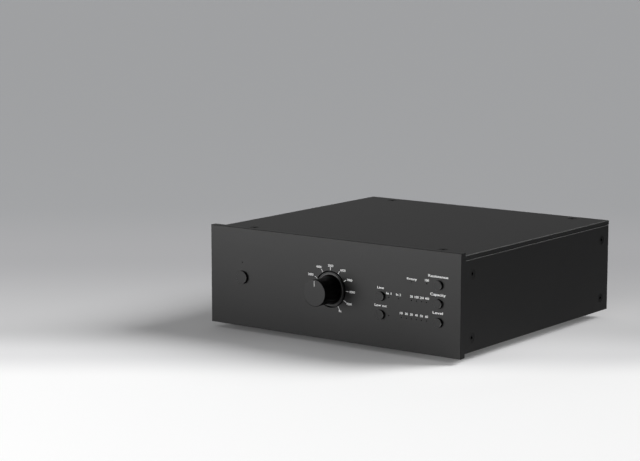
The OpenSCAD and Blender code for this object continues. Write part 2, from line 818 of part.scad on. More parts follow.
module rear_panel() {
    color("#232324")
    difference() {
        translate([0, rear_face_y, 0]) mirror([0, 1, 0]) folded_sheet(rear_t, rear_ear_l);
        for (x = rca_xs) hole_y(rca_hole_r, rear_inner_y, rear_face_y, x, socket_z, FINE);
        for (x = xlr_xs) {
            hole_y(xlr_shell_r + hole_gap, rear_inner_y, rear_face_y, x, socket_z, FINE);
            at_xlr_screws(x) csk_hole(screw_l);
        }
        hole_y(mini_body_r + hole_gap, rear_inner_y, rear_face_y, balanced_x, socket_z, FINE);
        hole_y(inlet_body_r + hole_gap, rear_inner_y, rear_face_y, inlet_x, socket_z, FINE);
        hole_y(post_r + screw_gap, rear_inner_y, rear_face_y, ground_x, socket_z);
        at_cover_screws() csk_hole(screw_l);
        at_floor_screws() csk_hole(screw_l);
        at_side_screws() csk_hole(screw_l);
    }
}

module top_cover() {
    color("#38383a")
    difference() {
        translate([0, (panel_back_y + case_rear_y) / 2, roof_z])
            bevel_plate(case_w, case_rear_y - panel_back_y, cover_t, edge_bevel);
        at_cover_screws() csk_hole(cover_t);
    }
}

module right_side_panel() {
    color("#262627")
    difference() {
        translate([inner_x, (panel_back_y + case_rear_y) / 2, (case_bottom + side_top) / 2])
            rotate([90, 0, 90])
            bevel_plate(case_rear_y - panel_back_y, side_top - case_bottom, wall_t, edge_bevel);
        at_side_screws() csk_hole(wall_t);
    }
}

module left_side_panel() {
    mirror([1, 0, 0]) right_side_panel();
}

module bottom_plate() {
    color("#2b2b2c")
    difference() {
        box([plate_gap - inner_x, panel_back_y + plate_gap, case_bottom],
            [inner_x - plate_gap, case_rear_y, floor_z]);
        at_floor_screws() csk_hole(floor_t);
        at_main_pillars(case_bottom) mirror([0, 0, 1]) csk_hole(floor_t);
        at_feet() translate([0, 0, case_bottom - over])
            cylinder(r = screw_hole_r, h = floor_t + 2 * over, $fn = SMALL);
    }
}

// One foot: a rubber puck that narrows downwards, with a recess for its screw
module foot(x, y) {
    color("#1b1b1b")
    translate([x, y, 0]) difference() {
        rotate_extrude($fn = FINE) polygon([
            [0, 0],
            [foot_r - foot_taper - foot_bevel, 0],
            [foot_r - foot_taper, foot_bevel],
            [foot_r, foot_h],
            [0, foot_h]
        ]);
        translate([0, 0, -over]) cylinder(r = foot_recess_r, h = foot_h - foot_web + over, $fn = SMALL);
        cylinder(r = screw_hole_r, h = foot_h + over, $fn = SMALL);
    }
}

// ---------------------------------------------------------------- fasteners

module top_cover_screws() {
    color("#151515") at_cover_screws() translate([0, 0, -head_sink]) csk_screw();
}

module side_panel_screws() {
    color("#151515") at_side_screws() translate([0, 0, -head_sink]) csk_screw();
}

module bottom_plate_screws() {
    color("#151515") {
        at_floor_screws() translate([0, 0, -head_sink]) csk_screw();
        at_main_pillars(case_bottom + head_sink) mirror([0, 0, 1]) csk_screw();
    }
}

module foot_screws() {
    color("#151515") at_feet() translate([0, 0, foot_h - foot_web]) mirror([0, 0, 1]) pan_screw();
}

module front_panel_screws() {
    color("#8d8e90")
    for (p = panel_screw_places) translate([p[0], frame_back_y, p[1]]) facing_rear() pan_screw();
}

// Threaded pillar standing on z = 0, with a neck that reaches down into a sheet
module pillar(neck) {
    foot = neck > 0 ? [[neck_r, -neck], [neck_r, 0]] : [];
    difference() {
        turned(concat(foot, [[pillar_r, 0], [pillar_r, pillar_l]]));
        translate([0, 0, -neck - over])
            cylinder(r = screw_hole_r, h = neck + pillar_l + 2 * over, $fn = SMALL);
    }
}

module board_pillars() {
    color("#a9a59a") {
        at_main_pillars(floor_z) pillar(0);
        at_control_pillars(frame_back_y) pillar(frame_t);
    }
}

module board_screws() {
    color("#8d8e90") {
        at_main_pillars(main_top) pan_screw();
        at_control_pillars(control_board_y + board_t) pan_screw();
    }
}

// ---------------------------------------------------------------- boards

module main_board() {
    color("#1d4a2f")
    difference() {
        box([-main_half_w, main_front_y, main_z], [main_half_w, main_rear_y, main_top]);
        at_main_pillars(main_z - over) cylinder(r = screw_hole_r, h = board_t + 2 * over, $fn = SMALL);
    }
}

module control_board() {
    color("#1d4a2f")
    difference() {
        box([-control_half_w, control_board_y, control_board_z],
            [control_half_w, control_board_y + board_t, control_board_z + control_board_h]);
        for (p = control_pillar_places)
            hole_y(screw_hole_r, control_board_y, control_board_y + board_t, p[0], p[1]);
    }
}

module socket_board() {
    color("#1d4a2f")
    box([-socket_half_w, socket_board_y - board_t, main_top],
        [socket_half_w, socket_board_y, main_top + socket_board_h]);
}

// Row of pins in a block, which joins the control board to the main board
module board_link() {
    y0 = control_board_y + board_t;
    color("#202022")
    box([-link_w / 2, y0, main_top], [link_w / 2, y0 + link_d, main_top + link_h]);
}

module indicator_leds() {
    color("#cfd4da")
    for (p = lamp_places)
        box([p[0] - lamp_w / 2, control_board_y - lamp_h, p[1] - lamp_d / 2],
            [p[0] + lamp_w / 2, control_board_y, p[1] + lamp_d / 2]);
}

module light_guides() {
    front_y = face_y + lamp_hole_depth + touch_gap;
    color("#d8dde2")
    for (p = lamp_places) bar_y(guide_r, front_y, control_board_y - lamp_h - touch_gap, p[0], p[1], SMALL);
}

// ---------------------------------------------------------------- parts on the main board

// Puts children at each of n places across the main board, in the row at y
module at_row(n, y) {
    for (i = [0 : n - 1]) translate([(2 * i + 1 - n) * row_half_w / n, y, main_top]) children();
}

// Can with a rolled groove near its foot
module can(r, h) {
    groove_z = 3 * can_groove;
    rotate_extrude($fn = SMALL) polygon([
        [0, 0],
        [r, 0],
        [r, groove_z],
        [r - can_groove, groove_z + can_groove],
        [r, groove_z + 2 * can_groove],
        [r, h - can_groove],
        [r - can_groove, h],
        [0, h]
    ]);
}

module electrolytic_capacitors() {
    color("#2a2d33") {
        at_row(reservoir_count, reservoir_y) can(reservoir_r, reservoir_h);
        at_row(coupling_count, coupling_y) can(coupling_r, coupling_h);
    }
}

module film_capacitors() {
    color("#9c2f28") at_row(film_count, film_y) bevel_plate(film_w, film_d, film_h, mould_bevel);
}

module relays() {
    color("#d9d7cf") at_row(relay_count, relay_y) bevel_plate(relay_w, relay_d, relay_h, mould_bevel);
}

// Chip body with four legs on each side
module chip() {
    leg_h = chip_h / 2;
    translate([0, 0, chip_leg]) bevel_plate(chip_w, chip_l, chip_h - chip_leg, mould_bevel);
    for (s = [-1, 1], i = [-1.5 : 1.5])
        translate([s * chip_w / 2, i * chip_l / 4, leg_h / 2])
            cube([chip_leg, chip_leg, leg_h], center = true);
}

module amplifier_chips() {
    color("#18181a") at_row(chip_count, chip_y) chip();
}

// Finned strip that stands on the main board
module heat_sink() {
    pitch = (sink_l - fin_t) / (fin_count - 1);
    color("#151517") {
        box([-sink_l / 2, sink_y, main_top], [sink_l / 2, sink_y + sink_back, main_top + sink_h]);
        for (i = [0 : fin_count - 1])
            translate([i * pitch - sink_l / 2, sink_y, main_top]) cube([fin_t, sink_d, sink_h]);
    }
}

// Three regulators with their tabs on the back of the heat sink and their legs in the board
module voltage_regulators() {
    half_w = regulator_w / 2;
    half_leg = regulator_leg_w / 2;
    tab_z = regulator_leg_l + regulator_body_h;
    leg_y = (regulator_tab_t + regulator_t) / 2;
    color("#1c1c1e")
    for (x = [-1, 0, 1]) translate([x * regulator_pitch, sink_y, main_top]) {
        box([-half_w, -regulator_tab_t, regulator_leg_l], [half_w, 0, regulator_h]);
        box([-half_w, -regulator_t, regulator_leg_l], [half_w, 0, tab_z]);
        for (i = [-1, 0, 1]) translate([i * leg_pitch, -leg_y, 0])
            box([-half_leg, -half_leg, 0], [half_leg, half_leg, regulator_leg_l + half_leg]);
    }
}

// ---------------------------------------------------------------- rotary control

module load_control() {
    color("#77797c")
    difference() {
        union() {
            box([-control_side / 2, frame_back_y, knob_z - control_side / 2],
                [control_side / 2, frame_back_y + control_plate_t, knob_z + control_side / 2]);
            bar_y(control_can_r, frame_back_y, control_board_y, 0, knob_z);
            bar_y(bush_r, panel_back_y - bush_nut_t - touch_gap, frame_back_y + control_plate_t, 0, knob_z);
        }
        bar_y(shaft_r + shaft_gap, face_y, control_board_y - shaft_end, 0, knob_z);
    }
}

module control_nut() {
    color("#b9babc")
    nut_y(bush_nut_af, bush_r + screw_gap, panel_back_y - bush_nut_t, panel_back_y, 0, knob_z);
}

module control_shaft() {
    tip_y = face_y - shaft_in_knob;
    color("#b4b5b7")
    difference() {
        bar_y(shaft_r, tip_y, control_board_y - shaft_end - board_gap, 0, knob_z);
        box([-shaft_r, tip_y - over, knob_z - 2 * shaft_r],
            [shaft_r, face_y + skirt_t, knob_z - shaft_r + shaft_flat]);
    }
}

// Section of the knob: radius across, height above the panel's face upwards
module knob_outline() {
    rim_r = knob_r - knob_bevel;
    rim_z = knob_proud - knob_bevel;
    difference() {
        union() {
            translate([0, -skirt_t]) square([skirt_r, skirt_t]);
            translate([0, -skirt_t]) square([knob_r + skirt_fillet, skirt_t + skirt_fillet]);
            translate([0, -skirt_t]) square([knob_r, skirt_t + rim_z]);
            translate([0, -skirt_t]) square([rim_r, skirt_t + knob_proud]);
            translate([rim_r, rim_z]) circle(r = knob_bevel, $fn = SMALL);
        }
        translate([knob_r + skirt_fillet, skirt_fillet]) circle(r = skirt_fillet, $fn = FINE);
    }
}

module knob() {
    bore_r = shaft_r + screw_gap / 2;
    mark_top = knob_r - knob_bevel - pointer_edge;
    color("#1e1e1f")
    translate([0, face_y, knob_z]) facing_front() difference() {
        rotate_extrude($fn = 2 * FINE) knob_outline();
        translate([0, 0, -skirt_t - over])
            cylinder(r = bore_r, h = skirt_t + over + shaft_in_knob + board_gap, $fn = FINE);
        translate([0, 0, grub_y]) rotate([90, 0, 0])
            cylinder(r = screw_hole_r, h = knob_r + over, $fn = SMALL);
        box([-pointer_w / 2, mark_top - pointer_l, knob_proud - pointer_depth],
            [pointer_w / 2, mark_top, knob_proud + over]);
    }
}

// Socket screw without a head, below the shaft, its tip on the shaft's flat
module knob_grub_screw() {
    tip = shaft_r - shaft_flat;
    color("#4a4b4d")
    translate([0, face_y - grub_y, knob_z - tip]) mirror([0, 0, 1]) difference() {
        cylinder(r = screw_r, h = grub_l, $fn = SMALL);
        translate([0, 0, grub_l - socket_depth])
            cylinder(d = grub_af / cos(30), h = socket_depth + over, $fn = 6);
    }
}

// ---------------------------------------------------------------- buttons

// Button with its collar behind the panel and its stem in the switch; up is out of the panel
module button(r, stem, switch) {
    collar_z = -panel_t - collar_gap;
    color("#3a3a3b") turned([
        [stem, -switch - stem_seat],
        [stem, collar_z - collar_t],
        [r + collar_rim, collar_z - collar_t],
        [r + collar_rim, collar_z],
        [r, collar_z],
        [r, button_proud - button_bevel],
        [r - button_bevel, button_proud]
    ], FINE);
}

// Depth of a switch's face behind the panel's face
function switch_face(h) = panel_t + frame_t + pillar_l - h;

module small_button(p) {
    translate([p[0], face_y, p[1]]) facing_front() button(button_r, stem_r, switch_face(switch_h));
}

module power_button() {
    translate([power_x, face_y, knob_z]) facing_front()
        button(power_r, power_stem_r, switch_face(power_switch_h));
}

// Switch on the control board, with a well that the stem sinks into
module switch(x, z, side, h, stem, travel) {
    well = stem_seat + travel + stem_gap;
    difference() {
        box([x - side / 2, control_board_y - h, z - side / 2], [x + side / 2, control_board_y, z + side / 2]);
        bar_y(stem + stem_gap, control_board_y - h - over, control_board_y - h + well, x, z, SMALL);
    }
}

module power_switch() {
    color("#303235") switch(power_x, knob_z, power_switch_side, power_switch_h, power_stem_r, power_travel);
}

module selector_switches() {
    color("#303235") for (p = button_places) switch(p[0], p[1], switch_side, switch_h, stem_r, button_travel);
}

// ---------------------------------------------------------------- phono sockets

// Barrel that a plug's sleeve grips: threaded behind its shoulder and bored through for the core
module rca(x) {
    nut_end = rca_end_y - rca_face_y;
    tip = socket_end_y - rca_face_y;
    color("#c39a3f")
    difference() {
        translate([x, rca_face_y, socket_z]) facing_rear() turned([
            [rca_thread_r, nut_end],
            [rca_thread_r, 0],
            [rca_shoulder_r, 0],
            [rca_shoulder_r, rca_shoulder_t],
            [rca_r, rca_shoulder_t],
            [rca_r, tip - rca_bevel],
            [rca_r - rca_bevel, tip]
        ], FINE);
        bar_y(rca_core_r, rca_end_y - over, socket_end_y + over, x, socket_z);
        bar_y(rca_sleeve_r, socket_end_y - rca_groove, socket_end_y + over, x, socket_z);
    }
}

// Contact of each phono socket: a cup for a plug's centre pin, with a tail to the socket board
module rca_contacts() {
    color("#c39a3f")
    for (x = rca_xs) difference() {
        translate([x, rca_end_y, socket_z]) facing_rear() turned([
            [rca_tail_r, socket_board_y - rca_end_y],
            [rca_tail_r, 0],
            [rca_centre_r, 0],
            [rca_centre_r, socket_end_y - rca_end_y]
        ], FINE);
        bar_y(rca_bore_r, socket_end_y - rca_bore_depth, socket_end_y + over, x, socket_z);
    }
}

// For each phono socket: a core between barrel and contact, a shouldered washer outside the panel and
// a flat washer inside it
module rca_insulators() {
    color("#d8d5cc")
    for (x = rca_xs) {
        difference() {
            union() {
                bar_y(insulator_r, rear_face_y, rca_face_y, x, socket_z);
                bar_y(insulator_neck_r, rear_inner_y + touch_gap, rca_face_y, x, socket_z);
            }
            hole_y(insulator_bore_r, rear_inner_y, rca_face_y, x, socket_z, FINE);
        }
        ring_y(insulator_r, insulator_bore_r, rca_nut_y, rear_inner_y, x, socket_z);
        ring_y(rca_core_r - touch_gap, rca_centre_r + touch_gap, rca_end_y,
            socket_end_y - rca_groove, x, socket_z);
    }
}

module socket_nuts() {
    color("#c9cacb") {
        for (x = rca_xs)
            nut_y(rca_nut_af, insulator_bore_r, rca_nut_y - rca_nut_t, rca_nut_y, x, socket_z);
        nut_y(post_nut_af, post_r + screw_gap, rear_inner_y - post_nut_t, rear_inner_y, ground_x, socket_z);
    }
}

// ---------------------------------------------------------------- balanced outputs

// Puts children at the two screws of the flange centred on x, on the flange's face
module at_xlr_screws(x) {
    for (s = [-1, 1])
        translate([x + s * xlr_screw_dx / 2, xlr_face_y, socket_z + s * xlr_screw_dz / 2])
            facing_rear() children();
}

// The three contacts: one on each side and one below
module at_xlr_contacts(x) {
    for (a = [0, 180, 270])
        translate([x + xlr_pin_circle * cos(a), 0, socket_z + xlr_pin_circle * sin(a)]) children();
}

module xlr_flange_outline() {
    inner_w = xlr_w - 2 * xlr_corner;
    inner_h = xlr_h - 2 * xlr_corner;
    square([inner_w, xlr_h], center = true);
    square([xlr_w, inner_h], center = true);
    for (x = [-1, 1], y = [-1, 1])
        translate([x * inner_w / 2, y * inner_h / 2]) circle(r = xlr_corner, $fn = SMALL);
}

module xlr_output(x) {
    floor_y = xlr_face_y - xlr_bore_depth;
    color("#1a1a1b")
    difference() {
        union() {
            translate([x, xlr_face_y, socket_z]) facing_front()
                linear_extrude(xlr_flange_t) xlr_flange_outline();
            bar_y(xlr_shell_r, socket_board_y, xlr_face_y - touch_gap, x, socket_z);
        }
        bar_y(xlr_bore_r, floor_y, xlr_face_y + over, x, socket_z);
        translate([x, xlr_face_y - xlr_mouth, socket_z]) facing_rear()
            cylinder(r1 = xlr_bore_r, r2 = xlr_bore_r + xlr_mouth + over, h = xlr_mouth + over, $fn = FINE);
        box([x - xlr_key_w / 2, floor_y, socket_z - xlr_bore_r - xlr_key_depth],
            [x + xlr_key_w / 2, xlr_face_y + over, socket_z - xlr_bore_r / 2]);
        at_xlr_contacts(x) bar_y(xlr_pin_r + touch_gap, socket_board_y - over, xlr_face_y, fn = SMALL);
        at_xlr_screws(x) csk_hole(screw_l);
    }
}

module xlr_contacts() {
    length = xlr_face_y - xlr_pin_recess - socket_board_y;
    color("#c8c9cb")
    for (x = xlr_xs) at_xlr_contacts(x) translate([0, socket_board_y, 0]) facing_rear()
        turned([[xlr_pin_r, 0], [xlr_pin_r, length - xlr_pin_bevel], [xlr_pin_r - xlr_pin_bevel, length]]);
}

module xlr_screws() {
    color("#151515") for (x = xlr_xs) at_xlr_screws(x) translate([0, 0, -head_sink]) csk_screw();
}

// ---------------------------------------------------------------- other sockets

module balanced_input() {
    color("#1a1a1b")
    difference() {
        union() {
            bar_y(mini_flange_r, rear_face_y, mini_face_y, balanced_x, socket_z);
            bar_y(mini_body_r, socket_board_y, mini_face_y - touch_gap, balanced_x, socket_z);
        }
        difference() {
            bar_y(mini_bore_r, mini_face_y - mini_bore_depth, mini_face_y + over, balanced_x, socket_z);
            bar_y(mini_core_r, mini_face_y - mini_bore_depth - over, mini_face_y, balanced_x, socket_z);
        }
        for (i = [0 : mini_count - 1])
            translate([balanced_x, mini_face_y, socket_z]) rotate([0, i * 360 / mini_count, 0])
                bar_y(mini_hole_r, -mini_bore_depth, over, 0, mini_circle_r, SMALL);
    }
}

module power_inlet() {
    color("#1a1a1b")
    difference() {
        union() {
            bar_y(inlet_flange_r, rear_face_y, inlet_face_y, inlet_x, socket_z);
            bar_y(inlet_body_r, socket_board_y, inlet_face_y - touch_gap, inlet_x, socket_z);
        }
        bar_y(inlet_bore_r, inlet_face_y - inlet_bore_depth, inlet_face_y + over, inlet_x, socket_z);
        bar_y(inlet_pin_r + touch_gap, socket_board_y - over, inlet_face_y, inlet_x, socket_z, SMALL);
    }
}

module power_inlet_pin() {
    color("#c8c9cb")
    bar_y(inlet_pin_r, socket_board_y, inlet_face_y - inlet_pin_recess, inlet_x, socket_z, SMALL);
}

// ---------------------------------------------------------------- ground post

module ground_post() {
    color("#c39a3f") {
        bar_y(post_r, socket_board_y, post_seat_y + post_l, ground_x, socket_z, FINE);
        bar_y(post_shoulder_r, rear_face_y, post_seat_y, ground_x, socket_z);
    }
}

module ground_washer() {
    y0 = post_seat_y + touch_gap;
    color("#cfcfcc") ring_y(washer_r, post_r + post_gap, y0, y0 + washer_t, ground_x, socket_z);
}

// Thumb nut: a fluted ring on a narrower waist
module ground_nut() {
    y0 = post_seat_y + 2 * touch_gap + washer_t;
    color("#c39a3f")
    translate([ground_x, y0, socket_z]) facing_rear() difference() {
        rotate_extrude($fn = FINE) polygon([
            [post_r + post_gap, 0],
            [thumb_waist_r, 0],
            [thumb_waist_r, thumb_waist_h],
            [thumb_r - thumb_bevel, thumb_waist_h],
            [thumb_r, thumb_waist_h + thumb_bevel],
            [thumb_r, thumb_h - thumb_bevel],
            [thumb_r - thumb_bevel, thumb_h],
            [post_r + post_gap, thumb_h]
        ]);
        for (i = [0 : thumb_flutes - 1])
            rotate([0, 0, i * 360 / thumb_flutes])
                translate([thumb_r + thumb_flute_r / 2, 0, thumb_waist_h - over])
                    cylinder(r = thumb_flute_r, h = thumb_h + over, $fn = SMALL);
    }
}

// ---------------------------------------------------------------- nodes

front_panel();
front_frame();
rear_panel();
top_cover();
bottom_plate();
left_side_panel();
right_side_panel();
foot(-foot_x, foot_ys[0]);  // foot_front_left
foot(foot_x, foot_ys[0]);  // foot_front_right
foot(-foot_x, foot_ys[1]);  // foot_rear_left
foot(foot_x, foot_ys[1]);  // foot_rear_right
top_cover_screws();
side_panel_screws();
bottom_plate_screws();
foot_screws();
front_panel_screws();
board_screws();
board_pillars();
main_board();
control_board();
socket_board();
board_link();
load_control();
control_nut();
control_shaft();
knob();
knob_grub_screw();
power_button();
small_button(button_places[0]);  // input_button
small_button(button_places[1]);  // filter_button
small_button(button_places[2]);  // load_button
small_button(button_places[3]);  // capacitance_button
small_button(button_places[4]);  // gain_button
power_switch();
selector_switches();
light_guides();
indicator_leds();
relays();
electrolytic_capacitors();
film_capacitors();
amplifier_chips();
voltage_regulators();
heat_sink();
rca(rca_xs[0]);  // rca_input_left
rca(rca_xs[1]);  // rca_input_right
rca(rca_xs[2]);  // rca_output_left
rca(rca_xs[3]);  // rca_output_right
rca_contacts();
rca_insulators();
socket_nuts();
xlr_output(xlr_xs[0]);  // xlr_output_left
xlr_output(xlr_xs[1]);  // xlr_output_right
xlr_contacts();
xlr_screws();
balanced_input();
power_inlet();
power_inlet_pin();
ground_post();
ground_washer();
ground_nut();
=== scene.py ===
"""Looks of a phono preamp: finishes, printed legends and fine threads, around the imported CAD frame."""

import math

import bmesh
import bpy
import numpy as np
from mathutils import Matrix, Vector


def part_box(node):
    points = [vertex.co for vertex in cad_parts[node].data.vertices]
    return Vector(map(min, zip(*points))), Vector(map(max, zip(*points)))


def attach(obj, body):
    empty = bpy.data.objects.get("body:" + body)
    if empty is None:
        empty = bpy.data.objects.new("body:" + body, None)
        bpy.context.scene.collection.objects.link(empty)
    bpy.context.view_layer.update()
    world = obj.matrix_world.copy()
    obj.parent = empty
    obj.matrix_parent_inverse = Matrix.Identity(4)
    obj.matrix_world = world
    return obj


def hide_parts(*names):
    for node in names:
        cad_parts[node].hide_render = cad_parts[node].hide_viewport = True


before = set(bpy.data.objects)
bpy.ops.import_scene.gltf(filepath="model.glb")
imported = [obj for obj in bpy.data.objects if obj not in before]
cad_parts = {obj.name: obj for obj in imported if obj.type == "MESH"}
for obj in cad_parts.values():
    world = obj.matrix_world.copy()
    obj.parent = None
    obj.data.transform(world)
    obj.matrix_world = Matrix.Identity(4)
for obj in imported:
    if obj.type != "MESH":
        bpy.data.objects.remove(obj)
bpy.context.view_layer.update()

# ---------------------------------------------------------------- camera
# A long lens, far back to the right of the front and a little above the cover.
# Metres and degrees; the yaw is counted leftwards from straight ahead, which is along +Y.
CAMERA_PLACE = (0.76409, -1.12371, 0.27857)
CAMERA_YAW, CAMERA_DOWN = 36.805, 8.904
LENS_MM, SENSOR_MM = 110.49, 36.0
FAR_LIMIT = 50

camera = bpy.data.objects.new("camera", bpy.data.cameras.new("camera"))
camera.data.lens = LENS_MM
camera.data.sensor_width = SENSOR_MM
camera.data.clip_end = FAR_LIMIT
camera.location = CAMERA_PLACE
camera.rotation_euler = (math.radians(90 - CAMERA_DOWN), 0, math.radians(CAMERA_YAW))
bpy.context.collection.objects.link(camera)
bpy.context.scene.camera = camera
bpy.context.scene.view_settings.view_transform = "Standard"

# ---------------------------------------------------------------- floor
# A wide sheet of pale studio paper, laid flat under the feet.
# Matte and white in front; its colour is painted greyer farther back, a painted fall-off of the light.
FLOOR_REACH = 14.0
SAME_POINT = 1e-7


def linear(code):
    """sRGB hex to linear: c / 12.92 below 0.04045, else ((c + 0.055) / 1.055) to the power 2.4."""
    parts = np.array([int(code[i : i + 2], 16) / 255 for i in (1, 3, 5)])
    light = np.where(parts < 0.04045, parts / 12.92, ((parts + 0.055) / 1.055) ** 2.4)
    return (*light.tolist(), 1.0)


def put(tree, kind, settings=None, links=None):
    """Adds one shader node: settings are attributes or input values, links join an input to an output."""
    node = tree.nodes.new(kind)
    for name, value in (settings or {}).items():
        if isinstance(name, int) or name in node.inputs:
            node.inputs[name].default_value = value
        else:
            setattr(node, name, value)
    for name, source in (links or {}).items():
        tree.links.new(source, node.inputs[name])
    return node


def new_finish(name, settings=None):
    """A material with one Principled shader; returns the material, its node tree and the shader."""
    finish = bpy.data.materials.new(name)
    finish.use_nodes = True
    finish.node_tree.nodes.clear()
    shader = put(finish.node_tree, "ShaderNodeBsdfPrincipled", settings)
    put(finish.node_tree, "ShaderNodeOutputMaterial", links={"Surface": shader.outputs[0]})
    return finish, finish.node_tree, shader


def sheet(points, closed_rows=False):
    """Quads over a grid, point (i, j) joined to i + 1 and j + 1; a closed row returns to its start."""
    rows, columns = points.shape[:2]
    across = np.arange(columns if closed_rows else columns - 1)
    i, j = np.meshgrid(np.arange(rows - 1), across, indexing="ij")
    down, right = i + 1, (j + 1) % columns
    corners = [i * columns + j, down * columns + j, down * columns + right, i * columns + right]
    return points.reshape(-1, 3), np.stack(corners, -1).reshape(-1, 4)


def solid(name, parts, finish):
    """One flat-faced object: its (points, faces) parts stacked, doubles merged, faces turned outwards."""
    points = np.concatenate([p for p, _ in parts])
    starts = np.cumsum([0] + [len(p) for p, _ in parts[:-1]])
    faces = [face for (_, f), start in zip(parts, starts) for face in (f + start).tolist()]
    mesh = bpy.data.meshes.new(name)
    mesh.from_pydata(points.tolist(), [], faces)
    shape = bmesh.new()
    shape.from_mesh(mesh)
    bmesh.ops.remove_doubles(shape, verts=shape.verts, dist=SAME_POINT)
    bmesh.ops.recalc_face_normals(shape, faces=shape.faces)
    shape.to_mesh(mesh)
    shape.free()
    mesh.materials.append(finish)
    made = bpy.data.objects.new(name, mesh)
    bpy.context.collection.objects.link(made)
    return made


# Metres ahead of the object, along the way the camera looks, and the painted shade of the paper there.
PAINTED_FALLOFF = (
    (-0.17, "#f6f6f6"), (-0.10, "#dcdcdd"), (-0.02, "#bfbfc0"), (0.28, "#a6a6a8"), (0.60, "#9e9fa1"),
)
# The sheet glows faintly all over, so that no shadow on it is black, and a painted pool of light, a
# soft oval of more glow, lies by the object's right side.
EVEN_GLOW, PAINTED_POOL_GLOW = 0.03, 0.12
OVAL_MIDDLE, OVAL_RADII = (0.105, 0.02, 0), (0.08, 0.21, 1.0)

paper, tree, shader = new_finish(
    "studio_paper", {"Roughness": 0.9, "Specular IOR Level": 0.1, "Emission Color": linear("#ffffff")}
)
place = put(tree, "ShaderNodeTexCoord").outputs["Object"]
off = put(tree, "ShaderNodeVectorMath", {"operation": "SUBTRACT", 1: OVAL_MIDDLE}, {0: place})
oval = put(tree, "ShaderNodeVectorMath", {"operation": "DIVIDE", 1: OVAL_RADII}, {0: off.outputs[0]})
away = put(tree, "ShaderNodeVectorMath", {"operation": "LENGTH"}, {0: oval.outputs[0]})
lit = put(
    tree, "ShaderNodeMapRange",
    {"interpolation_type": "SMOOTHSTEP", "From Min": 1.0, "From Max": 0.0,
     "To Min": EVEN_GLOW, "To Max": EVEN_GLOW + PAINTED_POOL_GLOW},
    {"Value": away.outputs["Value"]},
)
tree.links.new(lit.outputs[0], shader.inputs["Emission Strength"])
ahead = (-math.sin(math.radians(CAMERA_YAW)), math.cos(math.radians(CAMERA_YAW)), 0)
depth = put(tree, "ShaderNodeVectorMath", {"operation": "DOT_PRODUCT", 1: ahead}, {0: place})
nearest, farthest = PAINTED_FALLOFF[0][0], PAINTED_FALLOFF[-1][0]
share = put(
    tree, "ShaderNodeMapRange", {"From Min": nearest, "From Max": farthest},
    {"Value": depth.outputs["Value"]},
)
fade = put(tree, "ShaderNodeValToRGB", links={"Fac": share.outputs[0]})
fade.color_ramp.interpolation = "EASE"
for stop, (distance, code) in enumerate(PAINTED_FALLOFF):
    if 0 < stop < len(PAINTED_FALLOFF) - 1:
        fade.color_ramp.elements.new((distance - nearest) / (farthest - nearest))
    fade.color_ramp.elements[stop].color = linear(code)
tree.links.new(fade.outputs[0], shader.inputs["Base Color"])
edge = np.array([-FLOOR_REACH, 0, FLOOR_REACH])
across, along = np.meshgrid(edge, edge, indexing="ij")
floor = solid("floor", [sheet(np.stack([across, along, 0 * across], -1))], paper)

# ---------------------------------------------------------------- light
# A broad overhead bank behind the object, to its right, throws its soft shadow to the front. A low
# softbox at the front left gives the front panel its sheen, a lower one at the front right lights its
# lettering, and a surround that is brighter to the left fills the rest.
SURROUND_DARK, SURROUND_BRIGHT = 0.04, 0.50
# The surround brightens towards this side, from this cosine of the angle to it.
BRIGHT_SIDE, BRIGHT_FROM = (-0.88, -0.20, 0.42), -0.6
# Metres, watts and degrees; the bank's light comes from far off in its direction.
BANK_FROM, BANK_SPREAD, BANK_STRENGTH = (0.95, 1.0, 1.05), 34, 3.14
SOFTBOX_AIM, SOFTBOX_SIZE = (0.0, -0.09, 0.04), (0.9, 0.4)
FRONT_PLACE, FRONT_WATTS = (-0.78, -1.18, 0.22), 8.0
FILL_PLACE, FILL_WATTS = (0.50, -1.60, 0.12), 5.5

world = bpy.data.worlds.new("studio")
world.use_nodes = True
bpy.context.scene.world = world
tree = world.node_tree
tree.nodes.clear()
toward = put(tree, "ShaderNodeTexCoord").outputs["Generated"]
side = put(
    tree, "ShaderNodeVectorMath", {"operation": "DOT_PRODUCT", 1: Vector(BRIGHT_SIDE).normalized()},
    {0: toward},
)
strength = put(
    tree, "ShaderNodeMapRange",
    {"interpolation_type": "SMOOTHSTEP", "From Min": BRIGHT_FROM, "From Max": 1.0,
     "To Min": SURROUND_DARK, "To Max": SURROUND_BRIGHT},
    {"Value": side.outputs["Value"]},
)
glow = put(tree, "ShaderNodeBackground", {"Color": linear("#ffffff")}, {"Strength": strength.outputs[0]})
put(tree, "ShaderNodeOutputWorld", links={"Surface": glow.outputs[0]})

bank = bpy.data.objects.new("overhead_bank", bpy.data.lights.new("overhead_bank", "SUN"))
bank.data.energy = BANK_STRENGTH
bank.data.angle = math.radians(BANK_SPREAD)
bank.rotation_euler = Vector(BANK_FROM).to_track_quat("Z", "Y").to_euler()
bpy.context.collection.objects.link(bank)


def softbox(name, place, watts):
    """A rectangular area light at one point, turned to face the front panel."""
    lamp = bpy.data.objects.new(name, bpy.data.lights.new(name, "AREA"))
    lamp.data.shape = "RECTANGLE"
    lamp.data.size, lamp.data.size_y = SOFTBOX_SIZE
    lamp.data.energy = watts
    lamp.location = place
    lamp.rotation_euler = (Vector(SOFTBOX_AIM) - Vector(place)).to_track_quat("-Z", "Y").to_euler()
    bpy.context.collection.objects.link(lamp)


softbox("front_softbox", FRONT_PLACE, FRONT_WATTS)
softbox("low_fill", FILL_PLACE, FILL_WATTS)

# ---------------------------------------------------------------- folded frames
# The front frame is 1.5 mm aluminium sheet, folded at the press brake and left bare, except that its
# front face is painted black as painted shade round the knob; the rear panel is folded the same way
# and powder coated black. Their ears take the screws of all the plates.
# The sizes of pieces and of their patterns are in millimetres, and MM turns them into metres.
MM = 0.001
# COAT_AND_SHADE_BLACK is both the rear panel's powder coat and the painted shade on the front frame's
# face.
SHEET_GREY, COAT_AND_SHADE_BLACK, COAT_SPECK = "#b9bbbd", "#1b1b1c", "#222224"
# A face counts as square to an axis where its normal has more than this along it.
SQUARE_ON = 0.9


